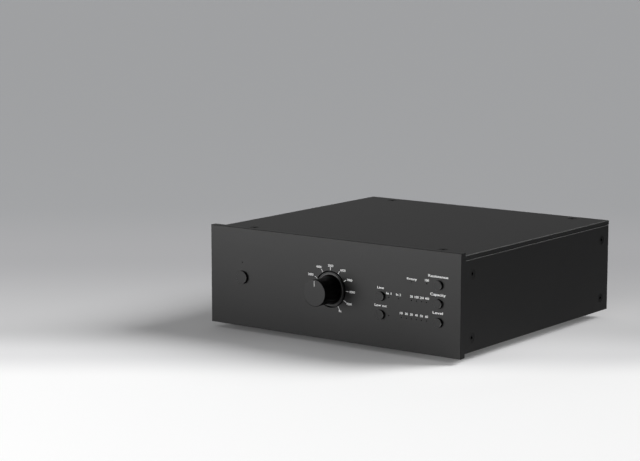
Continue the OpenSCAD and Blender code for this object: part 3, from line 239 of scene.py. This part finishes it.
def dress(finish, *names):
    """Gives CAD nodes this finish."""
    for name in names:
        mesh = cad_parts[name].data
        mesh.materials.clear()
        mesh.materials.append(finish)


def in_place(tree, mm):
    """Object coordinates over a length in mm, or one for each axis, in which a pattern repeats."""
    here = put(tree, "ShaderNodeTexCoord").outputs["Object"]
    share = tuple(1 / (np.broadcast_to(mm, 3) * MM))
    return put(tree, "ShaderNodeVectorMath", {"operation": "MULTIPLY", 1: share}, {0: here}).outputs[0]


def relief(tree, shader, height, deep_mm, strength=1.0):
    """Lets a height pattern tilt the surface as if it were this deep."""
    bump = put(
        tree, "ShaderNodeBump", {"Strength": strength, "Distance": deep_mm * MM}, {"Height": height}
    )
    tree.links.new(bump.outputs[0], shader.inputs["Normal"])


def tinted(tree, shader, share, code, other):
    """Base colour that goes from one sRGB code to another with a 0 to 1 pattern."""
    mix = put(tree, "ShaderNodeMix", {"data_type": "RGBA", 6: linear(code), 7: linear(other)}, {0: share})
    tree.links.new(mix.outputs[2], shader.inputs["Base Color"])


def uneven(tree, shader, share, low, high):
    """Roughness that goes from low to high with a 0 to 1 pattern."""
    spread = put(tree, "ShaderNodeMapRange", {"To Min": low, "To Max": high}, {"Value": share})
    tree.links.new(spread.outputs[0], shader.inputs["Roughness"])


def normal_over(tree, axis, least):
    """1 where the surface's normal has more than this along an axis, else 0."""
    normal = put(tree, "ShaderNodeNewGeometry").outputs["Normal"]
    parts = put(tree, "ShaderNodeSeparateXYZ", links={0: normal})
    over = put(tree, "ShaderNodeMath", {"operation": "GREATER_THAN", 1: least}, {0: parts.outputs[axis]})
    return over.outputs[0]


# Mill-finish aluminium: the rolls leave fine long streaks along the sheet, which stretch its highlights.
# The front face is painted black, as painted shade for the gap round the knob, where it shows.
inner_aluminium, tree, shader = new_finish("mill_finish_aluminium")
streaks = put(
    tree, "ShaderNodeTexNoise", {"Scale": 1.0, "Detail": 3.0}, {"Vector": in_place(tree, (30, 0.6, 0.6))}
)
bare = normal_over(tree, "Y", -SQUARE_ON)
tinted(tree, shader, bare, COAT_AND_SHADE_BLACK, SHEET_GREY)
tree.links.new(bare, shader.inputs["Metallic"])
uneven(tree, shader, streaks.outputs["Fac"], 0.28, 0.46)
relief(tree, shader, streaks.outputs["Fac"], 0.02)
dress(inner_aluminium, "front_frame")

# Polyester powder coat: baked from fused grains, so it has a soft orange peel about 1 mm across.
rear_coat, tree, shader = new_finish("black_powder_coat")
peel = put(tree, "ShaderNodeTexNoise", {"Scale": 1.0, "Detail": 2.0}, {"Vector": in_place(tree, 1.1)})
tinted(tree, shader, peel.outputs["Fac"], COAT_AND_SHADE_BLACK, COAT_SPECK)
uneven(tree, shader, peel.outputs["Fac"], 0.38, 0.52)
relief(tree, shader, peel.outputs["Fac"], 0.03)
dress(rear_coat, "rear_panel")

# ---------------------------------------------------------------- circuit boards
# Three glass-epoxy boards under green solder mask: the main board lies on its pillars, the control board
# stands behind the front and the socket board stands before the rear. A pin header joins the first two.
MASK_GREEN, TRACE_GREEN = "#12402a", "#1d5a3c"
WEAVE_MM, TRACE_MM = 0.9, 6.0
# The distance from a cell's centre is folded back and forth, and a track runs where it is over the edges.
TRACE_FOLD, TRACE_EDGES = 0.12, (0.055, 0.075)
# A strand's height as a share of a track's.
WEAVE_SHARE = 0.25

# The mask is a glossy film. Glass strands 0.5 mm wide print through it, drawn 0.9 mm wide so that
# they show, and the copper tracks under it show as paler lines.
board_laminate, tree, shader = new_finish(
    "solder_masked_laminate", {"Roughness": 0.33, "Coat Weight": 0.25}
)
weave = put(tree, "ShaderNodeTexChecker", {"Scale": 1.0}, {"Vector": in_place(tree, WEAVE_MM)})
tracks = put(
    tree, "ShaderNodeTexVoronoi", {"distance": "MANHATTAN", "feature": "F1", "Scale": 1.0},
    {"Vector": in_place(tree, TRACE_MM)},
)
copper = put(
    tree, "ShaderNodeMath", {"operation": "PINGPONG", 1: TRACE_FOLD}, {0: tracks.outputs["Distance"]}
)
line = put(
    tree, "ShaderNodeMapRange", {"From Min": TRACE_EDGES[0], "From Max": TRACE_EDGES[1]},
    {"Value": copper.outputs[0]},
)
tinted(tree, shader, line.outputs[0], MASK_GREEN, TRACE_GREEN)
print_through = put(
    tree, "ShaderNodeMath", {"operation": "MULTIPLY_ADD", 1: WEAVE_SHARE},
    {0: weave.outputs["Fac"], 2: line.outputs[0]},
)
relief(tree, shader, print_through.outputs[0], 0.02)
dress(board_laminate, "main_board", "control_board", "socket_board")

# The melt's colour drifts over 12 mm, and the roughness varies by this much with the grain.
MELT_MM, MOULD_SPREAD = 12, 0.07


def moulded(name, code, other, roughness, grain_mm, deep_mm=0.01):
    """Injection-moulded plastic: the steel mould's sparked grain as relief, and a slow drift of colour."""
    finish, tree, shader = new_finish(name)
    grain = put(
        tree, "ShaderNodeTexNoise", {"Scale": 1.0, "Detail": 4.0, "Roughness": 0.65},
        {"Vector": in_place(tree, grain_mm)},
    )
    drift = put(
        tree, "ShaderNodeTexNoise", {"Scale": 1.0, "Detail": 1.0}, {"Vector": in_place(tree, MELT_MM)}
    )
    tinted(tree, shader, drift.outputs["Fac"], code, other)
    uneven(tree, shader, grain.outputs["Fac"], roughness - MOULD_SPREAD, roughness + MOULD_SPREAD)
    relief(tree, shader, grain.outputs["Fac"], deep_mm)
    return finish


# Glass-filled nylon: near black, a little rough from the glass at the skin. Mould grain 0.3 mm.
switch_plastic = moulded("glass_filled_nylon", "#161617", "#1e1e20", 0.48, 0.3)
dress(switch_plastic, "board_link", "power_switch", "selector_switches")

# A wave texture has 20 / (2 pi) bands in each unit at scale 1, so one at this scale.
ONE_BAND = 0.314
# Bare metal dulls in patches of about 3 mm.
TARNISH_MM, BRIGHTER, DULLER = 3, 0.06, 0.08


def turned_metal(name, code, other, roughness, feed_mm):
    """Metal bar turned about Y: the tool's feed leaves fine rings, which are drawn as bands along Y."""
    finish, tree, shader = new_finish(name, {"Metallic": 1.0})
    feed = put(
        tree, "ShaderNodeTexWave",
        {"bands_direction": "Y", "Scale": ONE_BAND, "Distortion": 0.6, "Detail": 1.0},
        {"Vector": in_place(tree, feed_mm)},
    )
    drift = put(
        tree, "ShaderNodeTexNoise", {"Scale": 1.0, "Detail": 2.0}, {"Vector": in_place(tree, TARNISH_MM)}
    )
    tinted(tree, shader, drift.outputs["Fac"], code, other)
    uneven(tree, shader, drift.outputs["Fac"], roughness - BRIGHTER, roughness + DULLER)
    relief(tree, shader, feed.outputs["Fac"], 0.01, strength=0.5)
    return finish


# ---------------------------------------------------------------- pillars and machine screws
# Round brass pillars carry the main and control boards; bright zinc plated pan-head screws hold them.
# Brass stays warm and soft; the zinc has a slightly cloudy bright skin. Feed rings drawn 0.35 mm apart.
pillar_brass = turned_metal("turned_brass", "#b08d4a", "#a17f3f", 0.30, 0.35)
dress(pillar_brass, "board_pillars")

bright_zinc, tree, shader = new_finish("bright_zinc_plate", {"Metallic": 1.0})
spangle = put(tree, "ShaderNodeTexVoronoi", {"Scale": 1.0}, {"Vector": in_place(tree, 0.5)})
tinted(tree, shader, spangle.outputs["Distance"], "#c3c6ca", "#a9adb3")
uneven(tree, shader, spangle.outputs["Distance"], 0.22, 0.38)
relief(tree, shader, spangle.outputs["Distance"], 0.004)
dress(bright_zinc, "board_screws", "front_panel_screws", "foot_screws", "socket_nuts", "control_nut")

# ---------------------------------------------------------------- parts on the boards
# Power regulators on a black anodised fin block, smoothing and coupling cans in shrink sleeve, boxed
# film capacitors, sealed relays and dual op-amp packages, all soldered to the main board.
SLEEVE_BLUE, CAN_TOP = "#16202f", "#b7babd"

# PVC sleeve shrunk over an aluminium can: glossy, stretched smooth; the can's bare top faces up.
capacitor_sleeve, tree, shader = new_finish("shrunk_pvc_sleeve", {"Coat Weight": 0.3})
top = normal_over(tree, "Z", SQUARE_ON)
pull = put(
    tree, "ShaderNodeTexNoise", {"Scale": 1.0, "Detail": 2.0}, {"Vector": in_place(tree, (2, 2, 9))}
)
tinted(tree, shader, top, SLEEVE_BLUE, CAN_TOP)
uneven(tree, shader, pull.outputs["Fac"], 0.22, 0.36)
relief(tree, shader, pull.outputs["Fac"], 0.02)
tree.links.new(top, shader.inputs["Metallic"])
dress(capacitor_sleeve, "electrolytic_capacitors")

# Flame-retardant polyester boxes, brick red for film and off-white for relays, with a grain of 0.4 mm;
# epoxy packages are matte, with a finer and deeper one.
film_box = moulded("film_capacitor_box", "#7d2a22", "#8c3128", 0.36, 0.4)
dress(film_box, "film_capacitors")
relay_plastic = moulded("relay_case_polyester", "#d9d6cc", "#cfcbbf", 0.42, 0.4)
dress(relay_plastic, "relays")
chip_epoxy = moulded("moulding_epoxy", "#1a1a1b", "#232324", 0.55, 0.25, 0.02)
dress(chip_epoxy, "amplifier_chips", "voltage_regulators")

# Extruded aluminium, black anodised: die lines, drawn 0.4 mm wide, run straight up the fins.
sink_anodised, tree, shader = new_finish("black_anodised_extrusion", {"Metallic": 1.0})
lines = put(
    tree, "ShaderNodeTexNoise", {"Scale": 1.0, "Detail": 2.0}, {"Vector": in_place(tree, (0.4, 0.4, 20))}
)
tinted(tree, shader, lines.outputs["Fac"], "#222224", "#2e2e31")
uneven(tree, shader, lines.outputs["Fac"], 0.35, 0.5)
relief(tree, shader, lines.outputs["Fac"], 0.02)
dress(sink_anodised, "heat_sink")

# ---------------------------------------------------------------- rotary control, lamps and their guides
# The control's can and shaft are nickel plated brass; the lamps are clear epoxy, and clear acrylic
# rods carry their light to the small holes in the front panel.

# Nickel plate has a faint warm tone and a satin shine. Feed rings drawn 0.3 mm apart.
control_nickel = turned_metal("nickel_plated_brass", "#b5b2a9", "#a19e96", 0.30, 0.3)
dress(control_nickel, "load_control", "control_shaft")

# Cast acrylic and epoxy: clear with a faint ripple where they cooled, so highlights waver.
clear_plastic, tree, shader = new_finish(
    "clear_acrylic",
    {"Base Color": linear("#eef3f2"), "Roughness": 0.08, "IOR": 1.49, "Transmission Weight": 0.9},
)
ripple = put(tree, "ShaderNodeTexNoise", {"Scale": 1.0, "Detail": 1.0}, {"Vector": in_place(tree, 0.8)})
relief(tree, shader, ripple.outputs["Fac"], 0.02)
dress(clear_plastic, "light_guides", "indicator_leds")

# ---------------------------------------------------------------- rear sockets
# Gold-flashed turned brass phono sockets on nylon insulators, held by nuts inside; black nylon output
# sockets with silvered pins; a round five-way input and a barrel power inlet, in the same nylon.

# The gold is thin, warm and bright over the tool's rings, which are drawn 0.3 mm apart.
socket_gold = turned_metal("gold_flashed_brass", "#d6a94f", "#c4963d", 0.24, 0.3)
dress(
    socket_gold, "rca_input_left", "rca_input_right", "rca_output_left", "rca_output_right",
    "rca_contacts",
)

# Nylon is milky and waxy: light goes a little way in, so its edges stay soft.
insulator_nylon, tree, shader = new_finish(
    "natural_nylon", {"Subsurface Weight": 0.15, "Subsurface Scale": 0.4 * MM}
)
flow = put(tree, "ShaderNodeTexNoise", {"Scale": 1.0, "Detail": 2.0}, {"Vector": in_place(tree, 1.5)})
tinted(tree, shader, flow.outputs["Fac"], "#dedbd0", "#d2cec2")
uneven(tree, shader, flow.outputs["Fac"], 0.38, 0.5)
relief(tree, shader, flow.outputs["Fac"], 0.01)
dress(insulator_nylon, "rca_insulators")

# Black nylon takes a grain of 0.35 mm from its mould, so its highlights are soft.
socket_black = moulded("socket_housing_nylon", "#141415", "#1d1d1f", 0.40, 0.35, 0.015)
dress(socket_black, "xlr_output_left", "xlr_output_right", "balanced_input", "power_inlet")

# Silver plate is the palest and brightest of the metals. Feed rings drawn 0.25 mm apart.
contact_silver = turned_metal("silver_plated_contact", "#d2d3d3", "#bfc0c1", 0.22, 0.25)
dress(contact_silver, "xlr_contacts", "power_inlet_pin", "ground_washer")

# ---------------------------------------------------------------- ground terminal
# A gold-flashed brass stud with a rolled M4 thread, 0.7 mm pitch, and a fluted thumb nut on it.
# The thread is the helix that the nut climbs, with sloping flanks, and tapers off at its outer end.
STUD_R, THREAD_PITCH, THREAD_DEEP = 2.0, 0.7, 0.43
SHOULDER_R, SHOULDER_THICK, SHOULDER_BEVEL = 5.2, 1.5, 0.3
WASHER_GAP, THREAD_GAP, TAPER_LONG = 0.05, 0.02, 0.6
# From crest to root, this share of the way is flat at each end.
THREAD_FLAT = 0.1
STUD_ROUND, ROWS_PER_PITCH = 96, 12


def capped(rings):
    """Closes a tube of rings: its first and last ring are each repeated, shrunk onto their centre."""
    ends = [np.broadcast_to(ring.mean(0), ring.shape) for ring in (rings[0], rings[-1])]
    return sheet(np.concatenate([ends[0][None], rings, ends[1][None]]), closed_rows=True)


def ring_stack(centre, radii, lengths, count):
    """Rings about an axis along Y: x = cx + r cos a, z = cz + r sin a, y = length; r may vary with a."""
    angle = np.arange(count) * 2 * np.pi / count
    radii = np.broadcast_to(np.asarray(radii, float).reshape(len(lengths), -1), (len(lengths), count))
    along = np.broadcast_to(np.asarray(lengths, float)[:, None], radii.shape)
    x, z = centre[0] + radii * np.cos(angle), centre[1] + radii * np.sin(angle)
    return np.stack([x, along, z], -1) * MM


low, high = (np.array(corner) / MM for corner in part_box("ground_post"))
stud_centre = ((low[0] + high[0]) / 2, (low[2] + high[2]) / 2)
washer_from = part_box("ground_washer")[0][1] / MM
shoulder_to = washer_from - WASHER_GAP
shoulder_from = shoulder_to - SHOULDER_THICK
plain = [
    (STUD_R, low[1]),
    (STUD_R, shoulder_from),
    (SHOULDER_R - SHOULDER_BEVEL, shoulder_from),
    (SHOULDER_R, shoulder_from + SHOULDER_BEVEL),
    (SHOULDER_R, shoulder_to - SHOULDER_BEVEL),
    (SHOULDER_R - SHOULDER_BEVEL, shoulder_to),
    (STUD_R - THREAD_DEEP, shoulder_to),
]
row_count = int((high[1] - shoulder_to) / THREAD_PITCH * ROWS_PER_PITCH)
rows = np.linspace(shoulder_to + THREAD_GAP, high[1], row_count)
turn = np.arange(STUD_ROUND) / STUD_ROUND
# The way from crest to root: 0 to 1 and back along each pitch, a turn further round for every pitch.
way = np.abs(2 * ((rows[:, None] / THREAD_PITCH - turn) % 1) - 1)
helix = STUD_R - THREAD_DEEP * np.clip((way - THREAD_FLAT) / (1 - 2 * THREAD_FLAT), 0, 1)
taper = STUD_R - np.clip(TAPER_LONG - (high[1] - rows), 0, None)[:, None]
thread = np.minimum(helix, taper)
stud_rings = np.concatenate([
    ring_stack(stud_centre, [r for r, _ in plain], [y for _, y in plain], STUD_ROUND),
    ring_stack(stud_centre, thread, rows, STUD_ROUND),
])
threaded_stud = solid("threaded_stud", [capped(stud_rings)], socket_gold)
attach(threaded_stud, "case")
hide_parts("ground_post")
dress(socket_gold, "ground_post", "ground_nut")

# ---------------------------------------------------------------- case plates
# Flat aluminium plates for the top, sides and floor, bead blasted, then anodised dark grey.
# The oxide keeps the metal's soft sheen but little of its glare at a low angle.
CASE_GREY, CASE_BEVEL = "#292929", "#3c3c3c"
DYE_MM, DYE_DRIFT = 60, 0.10
GRIT_SPREAD, GRIT_DEEP = 0.04, 0.006
# The part of a normal along an axis: over the first it lies near the axis, under the second far off it.
NEAR_AXIS, FAR_OFF_AXIS = 0.93, 0.37


def grey(share):
    """A linear grey, as a tint for the light that a metal gives back at a low angle."""
    return (share, share, share, 1.0)


def blasted(name, code, edge_code, roughness, grain_mm, tint, square_to="XYZ", edge_from=FAR_OFF_AXIS):
    """Anodised aluminium: noise the size of the blasting grit as relief, and a faint wide drift of dye.

    A face takes edge_code instead if the part of its normal along the nearest of the named axes is
    between edge_from and NEAR_AXIS, which is about 20 degrees off the axis.
    """
    finish, tree, shader = new_finish(name, {"Metallic": 1.0, "Specular Tint": grey(tint)})
    grit = put(
        tree, "ShaderNodeTexNoise", {"Scale": 1.0, "Detail": 3.0, "Roughness": 0.6},
        {"Vector": in_place(tree, grain_mm)},
    )
    drift = put(
        tree, "ShaderNodeTexNoise", {"Scale": 1.0, "Detail": 2.0}, {"Vector": in_place(tree, DYE_MM)}
    )
    dye = put(
        tree, "ShaderNodeMix",
        {"data_type": "RGBA", "blend_type": "MULTIPLY", 0: DYE_DRIFT, 6: linear(code)},
        {7: drift.outputs["Fac"]},
    )
    facing = put(tree, "ShaderNodeNewGeometry").outputs["Normal"]
    size = put(tree, "ShaderNodeVectorMath", {"operation": "ABSOLUTE"}, {0: facing})
    axes = put(tree, "ShaderNodeSeparateXYZ", links={0: size.outputs[0]})
    most = axes.outputs[square_to[0]]
    for axis in square_to[1:]:
        larger = put(tree, "ShaderNodeMath", {"operation": "MAXIMUM"}, {0: most, 1: axes.outputs[axis]})
        most = larger.outputs[0]
    cut = put(
        tree, "ShaderNodeMath",
        {"operation": "COMPARE", 1: (edge_from + NEAR_AXIS) / 2, 2: (NEAR_AXIS - edge_from) / 2},
        {0: most},
    )
    coloured = put(
        tree, "ShaderNodeMix", {"data_type": "RGBA", 7: linear(edge_code)},
        {0: cut.outputs[0], 6: dye.outputs[2]},
    )
    tree.links.new(coloured.outputs[2], shader.inputs["Base Color"])
    uneven(tree, shader, grit.outputs["Fac"], roughness - GRIT_SPREAD, roughness + GRIT_SPREAD)
    relief(tree, shader, grit.outputs["Fac"], GRIT_DEEP)
    return finish


# The grit leaves dimples of about 0.1 mm, drawn 0.5 mm wide so that they show.
case_anodised = blasted("case_anodised_aluminium", CASE_GREY, CASE_BEVEL, 0.42, 0.5, 0.75)
dress(case_anodised, "top_cover", "left_side_panel", "right_side_panel", "bottom_plate")

# Black oxide on steel socket screws: almost black, with an oily half gloss on the chamfers.
black_screw, tree, shader = new_finish(
    "black_oxide_steel", {"Metallic": 1.0, "Specular Tint": grey(0.42)}
)
oil = put(tree, "ShaderNodeTexNoise", {"Scale": 1.0, "Detail": 3.0}, {"Vector": in_place(tree, 0.6)})
tinted(tree, shader, oil.outputs["Fac"], "#2a2a2a", "#393939")
uneven(tree, shader, oil.outputs["Fac"], 0.26, 0.42)
relief(tree, shader, oil.outputs["Fac"], 0.005)
dress(black_screw, "top_cover_screws", "side_panel_screws", "bottom_plate_screws", "xlr_screws")

# ---------------------------------------------------------------- feet
# Moulded rubber pucks that narrow downwards, each held by one screw in a recess.
# Rubber is dull and slightly mottled with dust. Mould grain 0.8 mm.
foot_rubber = moulded("moulded_rubber", "#151515", "#202020", 0.78, 0.8, 0.03)
dress(foot_rubber, "foot_front_left", "foot_front_right", "foot_rear_left", "foot_rear_right")

# ---------------------------------------------------------------- front panel
# A 5 mm aluminium plate, milled, bead blasted and anodised dark grey, that stands proud of the case.
# Finer grit than the case plates, so it looks smoother. Its front face is given a lighter grey than its
# top, sides and holes, which take the case plates' grey; the difference is partly the finer finish and
# partly painted light on the face that the lamps in front light.
PANEL_GREY, ANY_ANGLE = "#363636", -1
panel_anodised = blasted(
    "panel_anodised_aluminium", PANEL_GREY, CASE_GREY, 0.40, 0.4, 0.72, square_to="Y", edge_from=ANY_ANGLE
)
dress(panel_anodised, "front_panel")

# ---------------------------------------------------------------- printed legends
# White screen ink on the front panel, 0.03 mm thick: a dial scale with plain numbers, a word over
# each button and plain numbers over the lamps. Ink is dense and matte, a little thinner in places.
INK_WHITE, INK_THIN = "#ffffff", "#f0f0f0"
INK_PROUD, INK_SUNK = 0.03, 0.01
# Of a word before it is scaled: its thickness, the steps in a curve and how far its strokes are fattened.
WORD_THICK, WORD_CURVES, STROKE = 0.5, 4, 0.005
TICK_FROM, TICK_TO, TICK_W = 12.7, 14.9, 0.3
# The scale starts at 210 degrees, counted anticlockwise from the right, and runs clockwise.
DIAL_START, DIAL_STEP, DIAL_COUNT, OHMS_STEP = 210, 30, 10, 1000
NUMBER_H, NUMBER_W, MAX_W, NUMBER_RING = 1.5, 4.3, 2.0, 15.9
# The artwork's numbers were set by eye: how far each stands right of its place on the ring, and above.
BY_EYE = (
    (0, 0), (0, 0), (-0.4, 0.4), (0.5, 0.45), (0.2, 0),
    (0.2, 0), (-0.15, -0.15), (-0.1, 0), (-0.55, -0.35), (-0.9, 0),
)

screen_ink, tree, shader = new_finish("white_screen_ink", {"Roughness": 0.55, "Specular IOR Level": 0.3})
cover = put(tree, "ShaderNodeTexNoise", {"Scale": 1.0, "Detail": 3.0}, {"Vector": in_place(tree, 0.5)})
tinted(tree, shader, cover.outputs["Fac"], INK_THIN, INK_WHITE)
relief(tree, shader, cover.outputs["Fac"], 0.005)

face_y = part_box("front_panel")[0][1] / MM
knob_low, knob_high = (np.array(corner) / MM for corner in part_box("knob"))
knob_z = (knob_low[2] + knob_high[2]) / 2


def word_shape(text):
    """A word as a closed slab: font outlines filled and thickened by Blender, as points and triangles."""
    curve = bpy.data.curves.new("word", "FONT")
    curve.body, curve.extrude, curve.resolution_u, curve.offset = text, WORD_THICK, WORD_CURVES, STROKE
    made = bpy.data.objects.new("word", curve)
    bpy.context.collection.objects.link(made)
    mesh = bpy.data.meshes.new_from_object(made.evaluated_get(bpy.context.evaluated_depsgraph_get()))
    mesh.calc_loop_triangles()
    points = np.empty(3 * len(mesh.vertices))
    mesh.vertices.foreach_get("co", points)
    corners = np.empty(3 * len(mesh.loop_triangles), int)
    mesh.loop_triangles.foreach_get("vertices", corners)
    bpy.data.objects.remove(made)
    bpy.data.meshes.remove(mesh)
    bpy.data.curves.remove(curve)
    return points.reshape(-1, 3), corners.reshape(-1, 3)


CAPITAL = np.ptp(word_shape("H")[0][:, 1])


def legend(text, x, z, height, width):
    """A word about (x, z) of the panel's face: capitals scaled to the height, length to the width."""
    points, corners = word_shape(text)
    wide, tall = width / np.ptp(points[:, 0]), height / CAPITAL
    middle = (points[:, 0].min() + points[:, 0].max()) / 2
    right = x + wide * (points[:, 0] - middle)
    y = np.where(points[:, 2] > 0, face_y - INK_PROUD, face_y + INK_SUNK)
    up = z + tall * (points[:, 1] - CAPITAL / 2)
    return np.stack([right, y, up], -1) * MM, corners


def tick(angle, start, end, width):
    """A bar on the panel's face, radial about the knob: four corners at start, four at end, capped."""
    out = np.array([math.cos(angle), math.sin(angle)])
    side = np.array([-out[1], out[0]]) * width / 2
    sunk, proud = face_y + INK_SUNK, face_y - INK_PROUD
    flat = [
        (r * out + s * side, y)
        for r in (start, end)
        for s, y in ((-1, sunk), (1, sunk), (1, proud), (-1, proud))
    ]
    corners = np.array([(p[0], y, knob_z + p[1]) for p, y in flat]) * MM
    return capped(corners.reshape(2, 4, 3))


dial = []
for step in range(DIAL_COUNT):
    angle = math.radians(DIAL_START - DIAL_STEP * step)
    dial.append(tick(angle, TICK_FROM, TICK_TO, TICK_W))
    last = step == DIAL_COUNT - 1
    number, width = ("Max", MAX_W) if last else (str(OHMS_STEP * (step + 1)), NUMBER_W)
    # Rounded, so that the number straight above the knob leans to neither side.
    outward, (right, up) = round(math.cos(angle), 6), BY_EYE[step]
    x = NUMBER_RING * outward + width / 2 * np.sign(outward) + right
    dial.append(legend(number, x, knob_z + NUMBER_RING * math.sin(angle) + up, NUMBER_H, width))
dial_scale = solid("dial_scale", dial, screen_ink)

# Each word's text, the button that it stands by, how far right of the button and above it, its height
# and its length, in mm.
WORDS = (
    ("Resistance", "load", -0.5, 5.6, 1.6, 15.2),
    ("Capacity", "capacitance", -0.6, 6.0, 1.7, 11.8),
    ("Level", "gain", -0.6, 6.3, 1.6, 7.8),
    ("Line", "input", -0.3, 5.7, 1.5, 5.2),
    ("Low cut", "filter", -0.1, 6.1, 1.6, 9.6),
    ("Rotary", "load", -20.8, 1.9, 1.5, 7.6),
    ("100", "load", -9.1, 2.2, 1.45, 3.0),
    ("In 1", "input", 6.3, 2.5, 1.5, 3.9),
    ("In 2", "input", 14.0, 2.5, 1.5, 3.7),
)
# Rows of numbers over lamps: the button, how far right of it the first stands and how far above, their
# pitch to the left, and each number's text and length.
NUMBER_ROWS = (
    ("capacitance", -8.9, 2.5, 4.05, (("400", 3.0), ("200", 3.0), ("100", 3.0), ("50", 2.0))),
    ("gain", -9.2, 2.85, 3.93, [(number, 2.1) for number in ("60", "50", "40", "30", "20", "10")]),
)
LAMP_NUMBER_H = 1.45


def button_middle(button):
    """Where a button's axis meets the panel, (x, z) in mm."""
    low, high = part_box(f"{button}_button")
    return (low[0] + high[0]) / 2 / MM, (low[2] + high[2]) / 2 / MM


legends = []
for text, button, right, up, height, width in WORDS:
    x, z = button_middle(button)
    legends.append(legend(text, x + right, z + up, height, width))
for button, right, up, pitch, numbers in NUMBER_ROWS:
    x, z = button_middle(button)
    for step, (number, width) in enumerate(numbers):
        legends.append(legend(number, x + right - pitch * step, z + up, LAMP_NUMBER_H, width))
panel_legends = solid("panel_legends", legends, screen_ink)
for printed in (dial_scale, panel_legends):
    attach(printed, "case")

# ---------------------------------------------------------------- knob
# Turned from aluminium bar, anodised dark grey, on the control's shaft with a grub screw in its side.
# The lathe leaves rings round its face and its skirt; its pointer is milled and filled with pale paint.
KNOB_GREY, KNOB_GROOVE, RING_MM = "#393939", "#323232", 0.35
POINTER_W, POINTER_L, POINTER_DEEP, POINTER_LEVEL = 0.8, 3.7, 0.25, 0.1
# The pointer ends this far inside the knob's side.
KNOB_R, POINTER_EDGE = 9.0, 1.0

# Turning rings are about 0.1 mm apart, drawn 0.35 mm apart so that they show. The round side of the
# grip and the hollow at its foot are painted near black, as painted shade, and given a slightly lower
# roughness than the faced end and the skirt.
PAINTED_SHADE_BLACK, GRIP_RIM = "#0c0c0c", 10.7
FACE_ROUGHNESS, SIDE_ROUGHNESS = 0.33, 0.32
knob_anodised, tree, shader = new_finish("turned_anodised_aluminium", {"Metallic": 1.0})
here = put(tree, "ShaderNodeTexCoord").outputs["Object"]
centred = put(
    tree, "ShaderNodeVectorMath", {"operation": "SUBTRACT", 1: (0, face_y * MM, knob_z * MM)}, {0: here}
)
shared = put(
    tree, "ShaderNodeVectorMath", {"operation": "MULTIPLY", 1: (1 / (RING_MM * MM),) * 3},
    {0: centred.outputs[0]},
)
rings = put(
    tree, "ShaderNodeTexWave",
    {"wave_type": "RINGS", "rings_direction": "Y", "Scale": ONE_BAND, "Distortion": 0.3},
    {"Vector": shared.outputs[0]},
)
turned = put(
    tree, "ShaderNodeMix", {"data_type": "RGBA", 6: linear(KNOB_GROOVE), 7: linear(KNOB_GREY)},
    {0: rings.outputs["Fac"]},
)
spoke = put(
    tree, "ShaderNodeVectorMath", {"operation": "MULTIPLY", 1: (1, 0, 1)}, {0: centred.outputs[0]}
)
radius = put(tree, "ShaderNodeVectorMath", {"operation": "LENGTH"}, {0: spoke.outputs[0]})
inside = put(
    tree, "ShaderNodeMath", {"operation": "LESS_THAN", 1: GRIP_RIM * MM}, {0: radius.outputs["Value"]}
)
smooth_and_shaded = put(
    tree, "ShaderNodeMath", {"operation": "MULTIPLY"},
    {0: normal_over(tree, "Y", -NEAR_AXIS), 1: inside.outputs[0]},
)
coloured = put(
    tree, "ShaderNodeMix", {"data_type": "RGBA", 7: linear(PAINTED_SHADE_BLACK)},
    {0: smooth_and_shaded.outputs[0], 6: turned.outputs[2]},
)
tree.links.new(coloured.outputs[2], shader.inputs["Base Color"])
uneven(tree, shader, smooth_and_shaded.outputs[0], FACE_ROUGHNESS, SIDE_ROUGHNESS)
relief(tree, shader, rings.outputs["Fac"], 0.004)
dress(knob_anodised, "knob")
dress(black_screw, "knob_grub_screw")

# Filling paint, thinner and greyer than the screen ink, dried a little below the rim of its groove.
pointer_paint, tree, shader = new_finish(
    "groove_filling_paint", {"Roughness": 0.6, "Specular IOR Level": 0.3}
)
dried = put(tree, "ShaderNodeTexNoise", {"Scale": 1.0, "Detail": 2.0}, {"Vector": in_place(tree, 0.6)})
tinted(tree, shader, dried.outputs["Fac"], "#9c9c9c", "#b2b2b2")
relief(tree, shader, dried.outputs["Fac"], 0.01)

mark_top = knob_z + KNOB_R - POINTER_EDGE
groove_floor, paint_level = knob_low[1] + POINTER_DEEP, knob_low[1] + POINTER_LEVEL
slab = np.array([
    (side * POINTER_W / 2, y, z)
    for z in (mark_top - POINTER_L, mark_top)
    for side, y in ((-1, groove_floor), (1, groove_floor), (1, paint_level), (-1, paint_level))
]) * MM
pointer_ink = solid("pointer_ink", [capped(slab.reshape(2, 4, 3))], pointer_paint)
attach(pointer_ink, "knob")

# ---------------------------------------------------------------- buttons
# Turned from the same bar as the knob, faced flat, blasted and anodised to match the panel. The
# bevelled rim is painted a lighter grey than the face, a painted highlight.
BUTTON_RIM_HIGHLIGHT = "#707070"
button_anodised = blasted(
    "button_anodised_aluminium", PANEL_GREY, BUTTON_RIM_HIGHLIGHT, 0.40, 0.4, 0.35, square_to="Y"
)
dress(
    button_anodised, "power_button", "input_button", "filter_button",
    "load_button", "capacitance_button", "gain_button",
)
